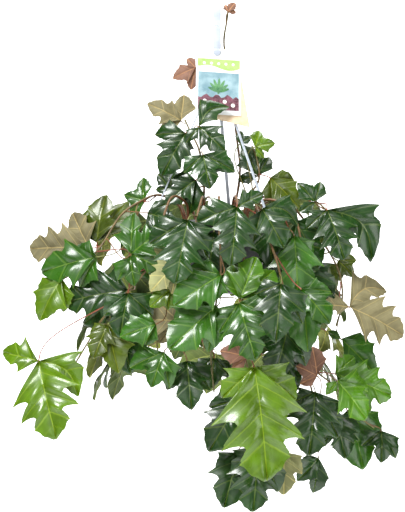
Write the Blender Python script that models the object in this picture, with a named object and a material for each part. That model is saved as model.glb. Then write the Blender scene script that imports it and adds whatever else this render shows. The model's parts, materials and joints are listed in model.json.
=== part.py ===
"""A grape ivy in a round hanging pot: hook, three straps, two cards, pot, soil and leafy stems.

Shapes are worked out in millimetres and turned into Blender's metres as each mesh is made. The origin is
the inside top of the hook, +Z is up and the front of the plant faces -Y.
"""

import math
import random

import bmesh
import bpy
from mathutils import Vector
from mathutils.bvhtree import BVHTree

METRES = 0.001

# The photograph's view, 405 by 512 pixels, which places stems and leaves
PIXEL = 1.2
AXIS_PIXEL = 217
EYE_PIXEL = 257
EYE_HEIGHT = -305
EYE_DISTANCE = 1800

# Hook and peg
STRIP_WIDTH = 9.6
STRIP_THICK = 2.5
HOOK_RADIUS = 12
HOOK_TIP_DROP = 18
JOG_TOP = 18
JOG_BOTTOM = 32
BOSS_TOP = -82
BOSS_BOTTOM = -88
BOSS_RADIUS = 9
PEG_HEIGHT = -60
PEG_RADIUS = 2.6
PEG_LENGTH = 7.4
PEG_HEAD_RADIUS = 4.4
PEG_HEAD_LENGTH = 1.2

# Pot, from its outer lip to its foot
RIM_RADIUS = 76
RIM_HEIGHT = -262
LIP = 2.5
LIP_DROP = 6
BASE_RADIUS = 54
BASE_HEIGHT = -348
WALL = 2
SOIL_TOP = -271
GAP = 0.3
ROUND_SIDES = 24

# Straps from the boss to the pot's lip
STRAP_AZIMUTHS = {"strap_right": -42, "strap_left": 198, "strap_back": 78}
STRAP_WIDTH = 4
STRAP_THICK = 1.2
STRAP_TOP_RADIUS = 5

# Cards that hang on the peg and lean forward over the straps
CARD_THICK = 0.6
CARD_BACK = -5.6
CARD_GAP = 0.4
CARD_LEAN = 0.23
HOLE_RADIUS = 3.4
FRONT_CARD = ((-24.5, -54), (29, -58.5), (28.5, -138), (-25.5, -135))
BACK_CARD = ((-21, -55), (23, -57), (39, -152), (-12, -139))

# Stems and leaf stalks
VINE_RADIUS = 1.6
VINE_SIDES = 5
VINE_TAPER = 0.3
HOLE_SPARE = 0.8
ROOT_BOTTOM = -292
ROOT_TOP = -258
STALK_RADIUS = 0.85
STALK_STEPS = 2
STALK_LEAST = 9
LEAVE_SHARE = 0.3
LEAVE_BACK = 0.25
GENTLE = 0.05
BOWS = (0, 14, -14, 28, -28)
FEET = 9
FOOT_SHARES = (0.25, 0.75)
HUB = 1.4
THICK = 0.8
SPARE = 0.7

# A blade's rows from base to tip, as shares of its length: where a side vein starts, and how far it reaches
SWEEP = 0.7
ROWS = {
    3: ((0.15, 0.43), (0.33, 0.28), (0.42, 0.37), (0.58, 0.21), (0.66, 0.22)),
    2: ((0.17, 0.44), (0.38, 0.28), (0.50, 0.28)),
    1: ((0.21, 0.44), (0.53, 0.25)),
    0: ((0.25, 0.38), (0.56, 0.27)),
}
SIZES = {"large": (3, 2), "medium": (2, 1), "small": (1, 0), "plain": (0, 0)}
INNER_SHARE = 0.8
RIGHT_AHEAD = 0.02
UNEVEN = 0.08
ARCH = 0.07
FOLD = 0.2
CURL = 0.6

# Neighbouring blades of a leaf are narrowed in steps until they are clear of each other
NARROWER = 0.95
TILT_STEP = 0.05
NARROWINGS = 18
DRAWN_IN = 0.01
DRAWN_TO = 0.2
SIDE_BACK = 0.25

# A hub's vertices, at three heights: top front pair, middle four, bottom four. The middle blade stands on the
# upper step and the side blades on the lower one. Each row gives top left, top right, bottom left, bottom right
HUB_FACES = ((5, 1, 0, 2), (6, 7, 8, 9), (2, 0, 3), (5, 4, 1), (3, 4, 8, 7))
BASES = ((2, 3, 6, 7), (0, 1, 3, 4), (4, 5, 8, 9))
HUB_BACK = (5, 2, 6, 9)

# How a leaf faces, and how far it may be pushed towards the viewer or away to find room
LEAN = 0.28
TURN = 0.45
PLANT_HALF = 240
FACE_DRAW = 0.2
TILT_DRAW = 0.12
PUSHES = (0, 4, -4, 8, -8, 12, -12, 16, -16, 20, -20, 24, -24, 28, -28, 33, -33, 38, -38, 44, -44, 50, -50)

# Stems: where each stands in the soil, then its way as pixel x, pixel y and nearness in millimetres
VINES = {
    "climber": ((14, 6), ((236, 200, -6), (240, 170, -8), (237, 140, -12), (232, 100, -16), (226, 60, -16),
                          (224, 40, -16), (227, 20, -15), (228, 12, -15))),
    "upper_left": ((-18, -8), ((203, 205, 18), (204, 180, 26), (199, 150, 16), (191, 133, 2),
                               (185, 120, -16))),
    "upper_right": ((22, -14), ((238, 208, 18), (250, 194, 14), (259, 179, 10), (257, 160, 4),
                                (252, 146, 0))),
    "left_high": ((-40, 6), ((178, 205, -3), (160, 195, 5), (143, 200, 24), (121, 215, 44), (101, 246, 56),
                             (80, 268, 56), (60, 281, 50))),
    "left_low": ((-34, -36), ((186, 203, 44), (172, 197, 66), (162, 222, 88), (151, 262, 98),
                              (129, 290, 92), (104, 317, 84), (87, 344, 70), (67, 377, 58))),
    "front_left": ((-14, -50), ((204, 202, 54), (202, 198, 80), (196, 222, 104), (190, 262, 112),
                                (184, 300, 106), (176, 334, 100), (170, 352, 96))),
    "front": ((3, -54), ((219, 202, 58), (219, 198, 84), (219, 225, 112), (221, 266, 124), (218, 290, 124),
                         (214, 320, 116), (211, 356, 108), (214, 392, 98))),
    "front_right": ((18, -46), ((233, 202, 50), (236, 197, 78), (240, 222, 106), (244, 262, 112),
                                (242, 310, 112), (243, 345, 110), (250, 378, 106), (258, 412, 98),
                                (266, 445, 86))),
    "right_front": ((32, -36), ((246, 202, 42), (253, 199, 72), (262, 222, 96), (277, 262, 108),
                                (288, 310, 102), (298, 350, 92), (310, 384, 80), (318, 420, 66),
                                (318, 452, 58))),
    "right_top": ((44, -8), ((259, 203, 10), (277, 195, 16), (296, 195, 20), (315, 201, 22),
                             (327, 212, 24), (334, 232, 22))),
    "right_mid": ((50, 12), ((264, 204, -14), (285, 200, -18), (306, 222, -20), (325, 245, -16),
                             (340, 275, 0), (342, 303, 22), (336, 326, 30))),
    "right_low": ((36, -20), ((250, 205, 24), (274, 200, 34), (295, 218, 46), (303, 258, 56),
                              (305, 300, 56), (306, 340, 54), (314, 368, 56), (334, 386, 54),
                              (354, 412, 46), (374, 428, 32))),
}

# Leaves seen in the photograph: stem, hub pixel, nearness, tips of the middle and side leaflets, size
LEAVES = (
    ("climber", (228, 12), -15, ((235, 3), (225, 5), (236, 12)), "plain"),
    ("climber", (196, 68), -16, ((173, 79), (187, 59), (191, 90)), "small"),
    ("upper_left", (181, 121), -26, ((147, 104), (184, 95), (160, 128)), "medium"),
    ("upper_left", (199, 127), 44, ((225, 151), (229, 107, 0.2), (186, 143)), "medium"),
    ("upper_left", (186, 133), 28, ((162, 177), (155, 135), (181, 160)), "medium"),
    ("upper_left", (203, 155), 62, ((210, 189), (184, 173), (235, 172)), "medium"),
    ("upper_right", (255, 147), 16, ((275, 143), (259, 131), (264, 158)), "small"),
    ("upper_right", (240, 144), 24, ((251, 137), (241, 131), (247, 151)), "plain"),
    ("upper_right", (258, 176), 34, ((243, 146), (269, 157), (238, 180)), "small"),
    ("upper_right", (270, 178), 4, ((299, 208), (294, 180), (272, 204)), "small"),
    ("front_right", (237, 207), 116, ((231, 266), (197, 222), (263, 194)), "large"),
    ("front_right", (262, 209), 96, ((284, 248), (298, 226, 0.2), (252, 245)), "medium"),
    ("right_top", (315, 202), 26, ((297, 183), (320, 182), (299, 212)), "small"),
    ("right_top", (327, 210), 42, ((344, 260), (371, 262, 0.25), (306, 229)), "large"),
    ("right_mid", (313, 244), -12, ((327, 232), (304, 228), (316, 264)), "small"),
    ("right_mid", (312, 262), 0, ((318, 303), (336, 291), (300, 284)), "medium"),
    ("right_mid", (338, 261), -18, ((354, 277), (356, 260), (340, 281)), "small"),
    ("right_mid", (349, 307), 48, ((403, 336), (386, 291, 0.2), (321, 305)), "large"),
    ("right_mid", (341, 339), 22, ((376, 376), (372, 350), (328, 332)), "small"),
    ("right_low", (335, 374), 62, ((391, 396), (354, 357), (371, 411)), "large"),
    ("right_low", (337, 381), 78, ((366, 420), (326, 395), (368, 392)), "medium"),
    ("right_front", (315, 392), 92, ((309, 456), (338, 438), (290, 404)), "large"),
    ("right_front", (318, 458), 70, ((297, 481), (313, 493), (300, 463)), "small"),
    ("right_low", (333, 415), 50, ((345, 459), (325, 446), (359, 440)), "medium"),
    ("right_low", (347, 410), 62, ((363, 470), (381, 446), (342, 442)), "medium"),
    ("right_low", (381, 431), 26, ((381, 463), (361, 446), (396, 458)), "medium"),
    ("front_right", (254, 367), 150, ((267, 481), (222, 398), (296, 400)), "large"),
    ("front_right", (247, 357), 140, ((220, 351), (238, 340), (232, 368)), "plain"),
    ("front_right", (240, 400), 118, ((209, 452), (209, 407), (240, 440)), "medium"),
    ("front_right", (238, 452), 96, ((224, 508), (216, 470), (247, 490)), "medium"),
    ("front_right", (258, 445), 108, ((253, 512), (234, 476), (278, 492)), "large"),
    ("front_right", (284, 452), 84, ((284, 495), (270, 478), (302, 474)), "medium"),
    ("front", (239, 303), 148, ((256, 360), (219, 333), (285, 318)), "large"),
    ("front", (240, 300), 136, ((256, 257), (232, 264), (275, 268)), "medium"),
    ("front", (221, 275), 140, ((174, 306), (190, 268), (212, 302)), "medium"),
    ("front", (217, 306), 134, ((169, 350), (174, 318), (208, 352)), "medium"),
    ("front_left", (178, 321), 130, ((131, 321), (157, 302), (158, 343)), "small"),
    ("left_low", (156, 324), 122, ((120, 337), (138, 318), (145, 345)), "small"),
    ("left_low", (170, 290), 120, ((150, 307), (152, 290), (168, 310)), "plain"),
    ("front_left", (164, 352), 124, ((152, 388), (130, 368), (170, 388)), "medium"),
    ("front_left", (187, 361), 104, ((192, 410), (167, 390), (211, 390)), "medium"),
    ("left_high", (131, 254), 106, ((167, 228), (134, 213), (160, 268)), "large"),
    ("left_high", (130, 256), 94, ((135, 286), (118, 280), (154, 280)), "medium"),
    ("left_high", (148, 213), 66, ((178, 224), (170, 203), (160, 236)), "small"),
    ("left_high", (97, 243), 14, ((106, 195), (89, 208), (124, 198)), "medium"),
    ("left_high", (144, 201), 28, ((124, 195), (143, 178), (130, 212)), "small"),
    ("upper_left", (178, 190), 56, ((182, 238), (172, 206), (196, 220)), "medium"),
    ("upper_left", (170, 188), 6, ((158, 174), (174, 170), (156, 190)), "plain"),
    ("left_high", (89, 248), 22, ((30, 249), (73, 213), (58, 268)), "large"),
    ("left_high", (97, 257), 74, ((42, 273), (80, 288), (74, 248)), "medium"),
    ("left_high", (62, 278), 58, ((40, 321), (38, 297), (64, 312)), "small"),
    ("left_low", (129, 290), 70, ((64, 303), (88, 284), (84, 325)), "large"),
    ("left_low", (128, 293), 100, ((120, 338), (104, 316), (153, 316)), "medium"),
    ("left_low", (108, 325), 60, ((94, 359), (90, 336), (119, 373)), "medium"),
    ("left_low", (122, 330), 92, ((131, 374), (112, 366), (146, 358)), "medium"),
    ("front_left", (180, 262), 112, ((151, 292), (151, 250), (172, 294)), "medium"),
    ("left_low", (39, 361), 60, ((57, 439), (3, 353), (79, 396, 0.2)), "large"),
    ("right_front", (281, 284), 140, ((276, 343), (256, 294), (303, 324)), "medium"),
    ("right_front", (294, 236), 112, ((297, 299), (280, 258), (312, 262)), "medium"),
    ("right_front", (301, 289), 112, ((330, 324), (331, 292), (308, 352)), "medium"),
    ("front_right", (268, 226), 72, ((272, 268), (256, 240), (286, 244)), "small"),
    ("right_front", (317, 376), 84, ((296, 366), (312, 347), (300, 384)), "small"),
    ("right_front", (282, 358), 86, ((296, 392), (272, 380), (304, 372)), "small"),
    ("front_left", (214, 358), 92, ((212, 388), (196, 372), (232, 378)), "small"),
    ("front_left", (188, 220), 96, ((176, 284), (150, 244), (208, 258)), "large"),
    ("front", (214, 232), 98, ((206, 300), (182, 262), (236, 276)), "large"),
    ("front_right", (250, 240), 96, ((258, 304), (232, 280), (282, 272)), "large"),
    ("right_front", (282, 246), 96, ((296, 306), (264, 284), (316, 272)), "medium"),
    ("left_low", (158, 240), 90, ((140, 300), (118, 262), (172, 278)), "large"),
    ("left_high", (146, 216), 50, ((124, 262), (112, 228), (152, 252)), "medium"),
    ("right_low", (296, 222), 62, ((318, 270), (290, 262), (330, 236)), "medium"),
    ("right_low", (303, 262), 72, ((318, 328), (288, 300), (334, 296)), "large"),
    ("front", (214, 202), 66, ((204, 244), (184, 214), (232, 226)), "medium"),
    ("upper_left", (196, 180), 40, ((166, 204), (172, 180), (190, 214)), "medium"),
    ("upper_right", (244, 186), 34, ((262, 224), (240, 222), (280, 206)), "medium"),
    ("right_front", (288, 326), 84, ((274, 380), (258, 346), (306, 366)), "medium"),
    ("left_low", (146, 300), 80, ((142, 352), (122, 330), (166, 336)), "medium"),
)

# Stems round the back, and leaves above the soil, follow a rule with seeded draws
BACK_AZIMUTHS = {"back_1": 22, "back_2": 58, "back_3": 100, "back_4": 134, "back_5": 166}
BACK_ROOT_RADIUS = 38
BACK_ROUTE = ((52, -236), (84, -232), (104, -264), (112, -318), (110, -372), (100, -424))
BACK_LEAVES = 7
BACK_LEAF_REACH = (50, 74)
BACK_TRIES = 24
BACK_SEED = 41
BACK_FAN = 18
BACK_SWING = 26
BACK_TURN = 0.5
BACK_OUT = 30
BACK_LIFT = -6

COLOURS = {
    "leaf": ((0.05, 0.14, 0.03), 0.3),
    "stem": ((0.22, 0.10, 0.05), 0.6),
    "pot": ((0.015, 0.016, 0.017), 0.45),
    "soil": ((0.05, 0.03, 0.02), 0.95),
    "hanger": ((0.85, 0.86, 0.85), 0.35),
    "white_card": ((0.9, 0.9, 0.88), 0.4),
    "tan_card": ((0.80, 0.62, 0.42), 0.7),
}


def spot(pixel_x, pixel_y, near):
    """The point seen at a pixel of the photograph, near millimetres in front of the pot's axis."""
    scale = PIXEL * (1 - near / EYE_DISTANCE)
    return Vector(((pixel_x - AXIS_PIXEL) * scale, -near, EYE_HEIGHT + (EYE_PIXEL - pixel_y) * scale))


def round_about(azimuth, radius, height):
    angle = math.radians(azimuth)
    return Vector((radius * math.cos(angle), radius * math.sin(angle), height))


# Meshes and materials
def material(name):
    colour, roughness = COLOURS[name]
    found = bpy.data.materials.new(name)
    found.use_nodes = True
    shader = found.node_tree.nodes["Principled BSDF"]
    shader.inputs["Base Color"].default_value = (*colour, 1)
    shader.inputs["Roughness"].default_value = roughness
    return found


def new_object(name, vertices, faces, look):
    mesh = bpy.data.meshes.new(name)
    mesh.from_pydata([Vector(v) * METRES for v in vertices], [], faces)
    mesh.validate()
    made = bpy.data.objects.new(name, mesh)
    mesh.materials.append(material(look))
    bpy.context.scene.collection.objects.link(made)
    return made


def apply_union(made, others, solver="EXACT"):
    """Joins the other objects into this one by one Boolean on a collection, and removes them."""
    group = bpy.data.collections.new("group")
    for other in others:
        bpy.context.scene.collection.objects.unlink(other)
        group.objects.link(other)
    bpy.context.scene.collection.children.link(group)
    union = made.modifiers.new("union", "BOOLEAN")
    union.operation = "UNION"
    union.operand_type = "COLLECTION"
    union.collection = group
    union.solver = solver
    evaluated = made.evaluated_get(bpy.context.evaluated_depsgraph_get())
    joined = bpy.data.meshes.new_from_object(evaluated)
    made.modifiers.clear()
    made.data = joined
    for other in others:
        bpy.data.objects.remove(other)
    bpy.data.collections.remove(group)


def drop_scraps(mesh):
    """Keeps only the largest of a mesh's separate islands."""
    edit = bmesh.new()
    edit.from_mesh(mesh)
    left = set(edit.verts)
    islands = []
    while left:
        island = set()
        reached = [left.pop()]
        while reached:
            vertex = reached.pop()
            island.add(vertex)
            for edge in vertex.link_edges:
                other = edge.other_vert(vertex)
                if other in left:
                    left.remove(other)
                    reached.append(other)
        islands.append(island)
    islands.sort(key=len)
    scraps = [vertex for island in islands[:-1] for vertex in island]
    bmesh.ops.delete(edit, geom=scraps, context="VERTS")
    edit.to_mesh(mesh)
    edit.free()


def cut(made, cutter):
    hole = made.modifiers.new("hole", "BOOLEAN")
    hole.operation = "DIFFERENCE"
    hole.object = cutter
    evaluated = made.evaluated_get(bpy.context.evaluated_depsgraph_get())
    cut_mesh = bpy.data.meshes.new_from_object(evaluated)
    made.modifiers.clear()
    made.data = cut_mesh
    bpy.data.objects.remove(cutter)


def turned(name, profile, look):
    """A solid of revolution from (radius, height) points, which run from the axis round to the axis."""
    vertices = []
    faces = []
    rings = []
    for radius, height in profile:
        if radius == 0:
            rings.append([len(vertices)] * ROUND_SIDES)
            vertices.append((0, 0, height))
            continue
        rings.append(list(range(len(vertices), len(vertices) + ROUND_SIDES)))
        vertices += [round_about(360 * side / ROUND_SIDES, radius, height) for side in range(ROUND_SIDES)]
    for upper, lower in zip(rings, rings[1:]):
        for side in range(ROUND_SIDES):
            after = (side + 1) % ROUND_SIDES
            corners = (upper[side], lower[side], lower[after], upper[after])
            faces.append(tuple(dict.fromkeys(corners)))
    made = new_object(name, vertices, faces, look)
    made.data.shade_smooth()
    made.data.set_sharp_from_angle(angle=math.radians(35))
    return made


def cylinder(name, centre, radius, depth, sides, look, axis="Z"):
    made = bmesh.new()
    bmesh.ops.create_cone(made, cap_ends=True, segments=sides, radius1=radius * METRES,
                          radius2=radius * METRES, depth=depth * METRES)
    mesh = bpy.data.meshes.new(name)
    made.to_mesh(mesh)
    made.free()
    rod = bpy.data.objects.new(name, mesh)
    mesh.materials.append(material(look))
    bpy.context.scene.collection.objects.link(rod)
    rod.location = Vector(centre) * METRES
    if axis == "Y":
        rod.rotation_euler = (math.pi / 2, 0, 0)
    return rod


def strip(name, path, width, thick, azimuth, look):
    """A flat strip along a path of (distance, height) points in the upright plane at an azimuth."""
    across = round_about(azimuth + 90, 1, 0)
    rings = []
    for index, (distance, height) in enumerate(path):
        before = Vector(path[max(index - 1, 0)])
        after = Vector(path[min(index + 1, len(path) - 1)])
        heading = (after - before).normalized()
        corner_stretch = 1.0
        if 0 < index < len(path) - 1:
            incoming = (Vector(path[index]) - before).normalized()
            corner_stretch = 1 / max(0.5, incoming.dot(heading))
        sideways = Vector((-heading.y, heading.x)) * thick / 2 * corner_stretch
        ring = []
        for turn, hand in ((1, 1), (1, -1), (-1, -1), (-1, 1)):
            point = Vector((distance, height)) + sideways * turn
            ring.append(round_about(azimuth, point.x, point.y) + across * hand * width / 2)
        rings.append(ring)
    return new_object(name, *tube_faces(rings), look)


def tube_faces(rings):
    """Vertices and faces of a closed tube through rings with the same number of corners."""
    vertices = [corner for ring in rings for corner in ring]
    count = len(rings[0])
    faces = [tuple(range(count - 1, -1, -1))]
    for ring in range(len(rings) - 1):
        low = ring * count
        high = low + count
        for side in range(count):
            after = (side + 1) % count
            faces.append((low + side, low + after, high + after, high + side))
    faces.append(tuple(range(len(vertices) - count, len(vertices))))
    return vertices, faces


# Hanger and cards
def hook_path():
    """Centre line of the hook's strip, from the front tip over the top and down to the boss."""
    middle = HOOK_RADIUS + STRIP_THICK / 2
    points = [(-middle, -HOOK_TIP_DROP)]
    for step in range(11):
        angle = math.radians(180 - 18 * step)
        points.append((middle * math.cos(angle), -HOOK_RADIUS + middle * math.sin(angle)))
    points += [(middle, -JOG_TOP), (0.6 * middle, -JOG_TOP - 6), (0, -JOG_BOTTOM), (0, BOSS_TOP - 2)]
    return points


def build_hanger():
    hook = strip("hook", hook_path(), STRIP_WIDTH, STRIP_THICK, 90, "hanger")
    boss = cylinder("boss", (0, 0, (BOSS_TOP + BOSS_BOTTOM) / 2), BOSS_RADIUS, BOSS_TOP - BOSS_BOTTOM, 16,
                    "hanger")
    face = -STRIP_THICK / 2
    stem_length = PEG_LENGTH + 1
    peg = cylinder("peg", (0, face + 1 - stem_length / 2, PEG_HEIGHT), PEG_RADIUS, stem_length, 10,
                   "hanger", "Y")
    head = cylinder("head", (0, face - PEG_LENGTH - PEG_HEAD_LENGTH / 2 + 0.4, PEG_HEIGHT),
                    PEG_HEAD_RADIUS, PEG_HEAD_LENGTH, 12, "hanger", "Y")
    apply_union(hook, [boss, peg, head])
    lip_radius = RIM_RADIUS + LIP
    outside = lip_radius + GAP + STRAP_THICK / 2
    under_lip = RIM_HEIGHT - LIP_DROP - GAP - STRAP_THICK / 2
    for name, azimuth in STRAP_AZIMUTHS.items():
        path = ((STRAP_TOP_RADIUS, BOSS_BOTTOM - GAP), (STRAP_TOP_RADIUS + 2, BOSS_BOTTOM - 8),
                (outside, RIM_HEIGHT + 4), (outside, under_lip), (lip_radius - 1.2, under_lip))
        strip(name, path, STRAP_WIDTH, STRAP_THICK, azimuth, "hanger")


def card(name, corners, front, look):
    """A leaning card through four (x, z) corners, with a round hole for the peg."""
    vertices = []
    for face in (front, front + CARD_THICK):
        vertices += [(x, face - CARD_LEAN * (PEG_HEIGHT - z), z) for x, z in corners]
    faces = [(3, 2, 1, 0), (4, 5, 6, 7), (0, 1, 5, 4), (1, 2, 6, 5), (2, 3, 7, 6), (3, 0, 4, 7)]
    made = new_object(name, vertices, faces, look)
    cutter = cylinder("cutter", (0, front, PEG_HEIGHT), HOLE_RADIUS, 6, 12, look, "Y")
    cut(made, cutter)


def build_cards():
    card("label_backing", BACK_CARD, CARD_BACK, "tan_card")
    card("label_card", FRONT_CARD, CARD_BACK - CARD_GAP - CARD_THICK, "white_card")


# Pot and soil
def wall_radius(height):
    share = (RIM_HEIGHT - height) / (RIM_HEIGHT - BASE_HEIGHT)
    return RIM_RADIUS - (RIM_RADIUS - BASE_RADIUS) * share


def build_pot():
    lip_bottom = RIM_HEIGHT - LIP_DROP
    floor = BASE_HEIGHT + WALL
    profile = (
        (0, floor),
        (wall_radius(floor) - WALL - 4, floor),
        (wall_radius(floor + 5) - WALL, floor + 5),
        (RIM_RADIUS - WALL, RIM_HEIGHT),
        (RIM_RADIUS + LIP - 0.8, RIM_HEIGHT),
        (RIM_RADIUS + LIP, RIM_HEIGHT - 1),
        (RIM_RADIUS + LIP, lip_bottom),
        (wall_radius(lip_bottom), lip_bottom),
        (wall_radius(BASE_HEIGHT + 5), BASE_HEIGHT + 5),
        (wall_radius(BASE_HEIGHT) - 4, BASE_HEIGHT),
        (0, BASE_HEIGHT),
    )
    turned("pot", profile, "pot")


def build_soil(roots):
    floor = BASE_HEIGHT + WALL + GAP
    inside = WALL + GAP
    profile = (
        (0, SOIL_TOP + 2),
        (40, SOIL_TOP + 1),
        (wall_radius(SOIL_TOP) - inside, SOIL_TOP),
        (wall_radius(floor + 5.5) - inside, floor + 5.5),
        (wall_radius(floor) - inside - 4.5, floor),
        (0, floor),
    )
    soil = turned("soil", profile, "soil")
    cutters = []
    for x, y in roots:
        hole = cylinder("cutter", (x, y, ROOT_BOTTOM - GAP + 25), VINE_RADIUS + HOLE_SPARE, 50, 8, "soil")
        cutters.append(hole)
    first = cutters[0]
    apply_union(first, cutters[1:])
    cut(soil, first)


# Stems
def vine_route(root, points):
    start = [Vector((*root, ROOT_BOTTOM)), Vector((*root, ROOT_TOP))]
    return start + points


def rings_along(path, radius, sides, taper):
    """Rings of a tube along a path, turned as little as possible from one to the next."""
    rings = []
    side = None
    for index, point in enumerate(path):
        heading = (path[min(index + 1, len(path) - 1)] - path[max(index - 1, 0)]).normalized()
        if side is None:
            side = heading.orthogonal().normalized()
        side = (side - heading * side.dot(heading)).normalized()
        up = heading.cross(side)
        thin = radius * (1 - taper * index / (len(path) - 1))
        ring = []
        for corner in range(sides):
            angle = 2 * math.pi * corner / sides
            ring.append(point + (side * math.cos(angle) + up * math.sin(angle)) * thin)
        rings.append(ring)
    return rings


# Leaves
class Blade:
    """One leaflet as a curved surface, from its base towards its tip."""

    def __init__(self, base, tip, normal, bend):
        along = tip - base
        self.base = base
        self.length = along.length
        self.along = along.normalized()
        self.across = normal.cross(self.along).normalized()
        self.upward = self.along.cross(self.across)
        self.bend = bend

    def tilted(self, normal, share):
        """The same blade with its tip further back by a share of its length."""
        tip = self.base + (self.along - normal * share) * self.length
        return Blade(self.base, tip, normal, self.bend)

    def point(self, root, reach, side):
        """The point that a side vein from root on the midrib has after reaching out sideways."""
        forward = root + SWEEP * reach
        swing = self.bend * math.sin(math.pi * min(forward, 1))
        rise = ARCH * math.sin(math.pi * min(forward, 1)) + FOLD * reach - CURL * reach ** 2
        place = self.along * forward + self.across * (side * reach + swing) + self.upward * rise
        return self.base + place * self.length


class Leaf:
    """Three leaflets on a hub, with the stalk that joins them to a stem."""

    def __init__(self, hub, normal, tips, size, seed):
        draw = random.Random(seed)
        self.hub = hub
        middle = (tips[0][0] - hub).normalized()
        self.normal = (normal - middle * normal.dot(middle)).normalized()
        self.middle = middle
        self.left = self.normal.cross(middle)
        lobes, side_lobes = SIZES[size]
        sides = sorted(tips[1:], key=lambda tip: -(tip[0] - hub).dot(self.left))
        self.parts = []
        for index, (tip, bend) in enumerate((sides[0], tips[0], sides[1])):
            level = THICK / 2 if index == 1 else -THICK / 2
            blade = Blade(hub + self.normal * level, tip, self.normal, bend)
            rows = ROWS[lobes if index == 1 else side_lobes]
            wide = [1 + draw.uniform(-UNEVEN, UNEVEN) for _ in range(2)]
            self.parts.append([blade, rows, wide])
        self.parts[0][2][1] *= INNER_SHARE
        self.parts[2][2][0] *= INNER_SHARE
        for side, own_half, other, other_half in ((0, 1, 1, 0), (2, 0, 1, 1), (2, 0, 0, 1)):
            self.keep_apart(side, own_half, other, other_half)

    def keep_apart(self, side, own_half, other, other_half):
        """Narrows the facing halves of a side blade and another, and tilts the side one, until they are clear."""
        for _ in range(NARROWINGS):
            if not self.blade_tree(side).overlap(self.blade_tree(other)):
                return
            self.parts[side][2][own_half] *= NARROWER
            self.parts[other][2][other_half] *= NARROWER
            self.parts[side][0] = self.parts[side][0].tilted(self.normal, TILT_STEP)

    def blade_tree(self, number):
        """A search tree of one blade, drawn in a little from the hub."""
        aim = self.parts[number][0].point(DRAWN_TO, 0, 1)
        corners = [corner.lerp(aim, DRAWN_IN) for corner in self.hub_vertices(0)]
        vertices, faces = self.blade_mesh(number, THICK / 2, len(corners))
        return BVHTree.FromPolygons(corners + vertices, faces)

    def hub_vertices(self, spare):
        """The hub's corners in the order that HUB_FACES and BASES count them in."""
        ends = ((-1, 1), (1, 1), (1, -1), (-1, -1))
        flat = [self.hub + (self.middle * a + self.left * b) * HUB for a, b in ends]
        lift = self.normal * (THICK + spare)
        return [flat[1] + lift, flat[2] + lift, *flat, *[corner - lift for corner in flat]]

    def shell(self, spare=0.0):
        """Vertices and faces of the hub and blades, which are open where the stalk joins the hub."""
        vertices = self.hub_vertices(spare)
        faces = list(HUB_FACES)
        for number in range(len(self.parts)):
            blade_vertices, blade_faces = self.blade_mesh(number, THICK / 2 + spare, len(vertices))
            vertices += blade_vertices
            faces += blade_faces
        return vertices, faces

    def blade_mesh(self, number, top_lift, first):
        """One blade's own vertices, numbered from first, and its faces, which begin at the hub's corners."""
        blade, rows, wide = self.parts[number]
        top_left, top_right, low_left, low_right = BASES[number]
        top = []
        strips = []
        edge_left = [top_left]
        edge_right = [top_right]
        middle = None
        for row, (root, reach) in enumerate(rows):
            left, right = edge_left[-1], edge_right[-1]
            new_left = first + len(top)
            new_right = new_left + 1
            top.append(blade.point(root, reach * wide[0], 1))
            top.append(blade.point(root + RIGHT_AHEAD, reach * wide[1], -1))
            if row % 2:
                strips += [(left, new_left, middle), (middle, new_right, right)]
            else:
                new_middle = new_right + 1
                top.append(blade.point(root, 0, 1))
                if middle is None:
                    strips.append((left, new_middle, right))
                else:
                    strips += [(left, new_middle, middle), (middle, new_middle, right)]
                strips += [(left, new_left, new_middle), (right, new_middle, new_right)]
                middle = new_middle
            edge_left.append(new_left)
            edge_right.append(new_right)
        tip = first + len(top)
        top.append(blade.point(1, 0, 1))
        strips += [(edge_left[-1], tip, middle), (middle, tip, edge_right[-1])]
        edge_left.append(tip)
        edge_right.append(tip)

        def under(index):
            return {top_left: low_left, top_right: low_right}.get(index, index + len(top))

        faces = [(a, c, b) for a, b, c in strips]
        faces += [(under(a), under(b), under(c)) for a, b, c in strips]
        for edge, flip in ((edge_left, False), (edge_right, True)):
            for a, b in zip(edge, edge[1:]):
                wall = (a, b, under(b), under(a))
                faces.append(wall[::-1] if flip else wall)
        lift = blade.upward * top_lift
        return [point + lift for point in top] + [point - lift for point in top], faces

    def stalk_rings(self, foot, bow):
        """Rings of the stalk from behind the hub to its foot inside the stem."""
        start = self.hub - self.middle * HUB - self.normal * THICK / 2
        span = (foot - start).length
        leave = start - (self.middle * LEAVE_SHARE + self.normal * LEAVE_BACK) * span
        arrive = foot + (start - foot) * LEAVE_SHARE + self.left * bow
        rings = []
        for step in range(1, STALK_STEPS + 1):
            t = step / STALK_STEPS
            centre = (start * (1 - t) ** 3 + leave * 3 * t * (1 - t) ** 2
                      + arrive * 3 * t ** 2 * (1 - t) + foot * t ** 3)
            slope = ((leave - start) * (1 - t) ** 2 + (arrive - leave) * 2 * t * (1 - t)
                     + (foot - arrive) * t ** 2).normalized()
            side = (self.left - slope * self.left.dot(slope)).normalized()
            up = side.cross(slope)
            rings.append([centre + (side * a + up * b) * STALK_RADIUS
                          for a, b in ((-1, 1), (1, 1), (1, -1), (-1, -1))])
        return rings

    def is_sound(self, rings):
        """Whether the stalk bends and turns gently enough for its sides to keep facing outwards."""
        hub = self.hub_vertices(0)
        places = []
        for ring in [[hub[index] for index in HUB_BACK], *rings]:
            side = (ring[1] - ring[0]).normalized()
            up = (ring[1] - ring[2]).normalized()
            places.append((sum(ring, Vector()) / len(ring), side, up, up.cross(side)))
        for (near, side, up, slope), (far, far_side, far_up, far_slope) in zip(places, places[1:]):
            way = (far - near).normalized()
            if min(side.dot(far_side), up.dot(far_up), way.dot(slope), way.dot(far_slope)) < GENTLE:
                return False
        return True

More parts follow.
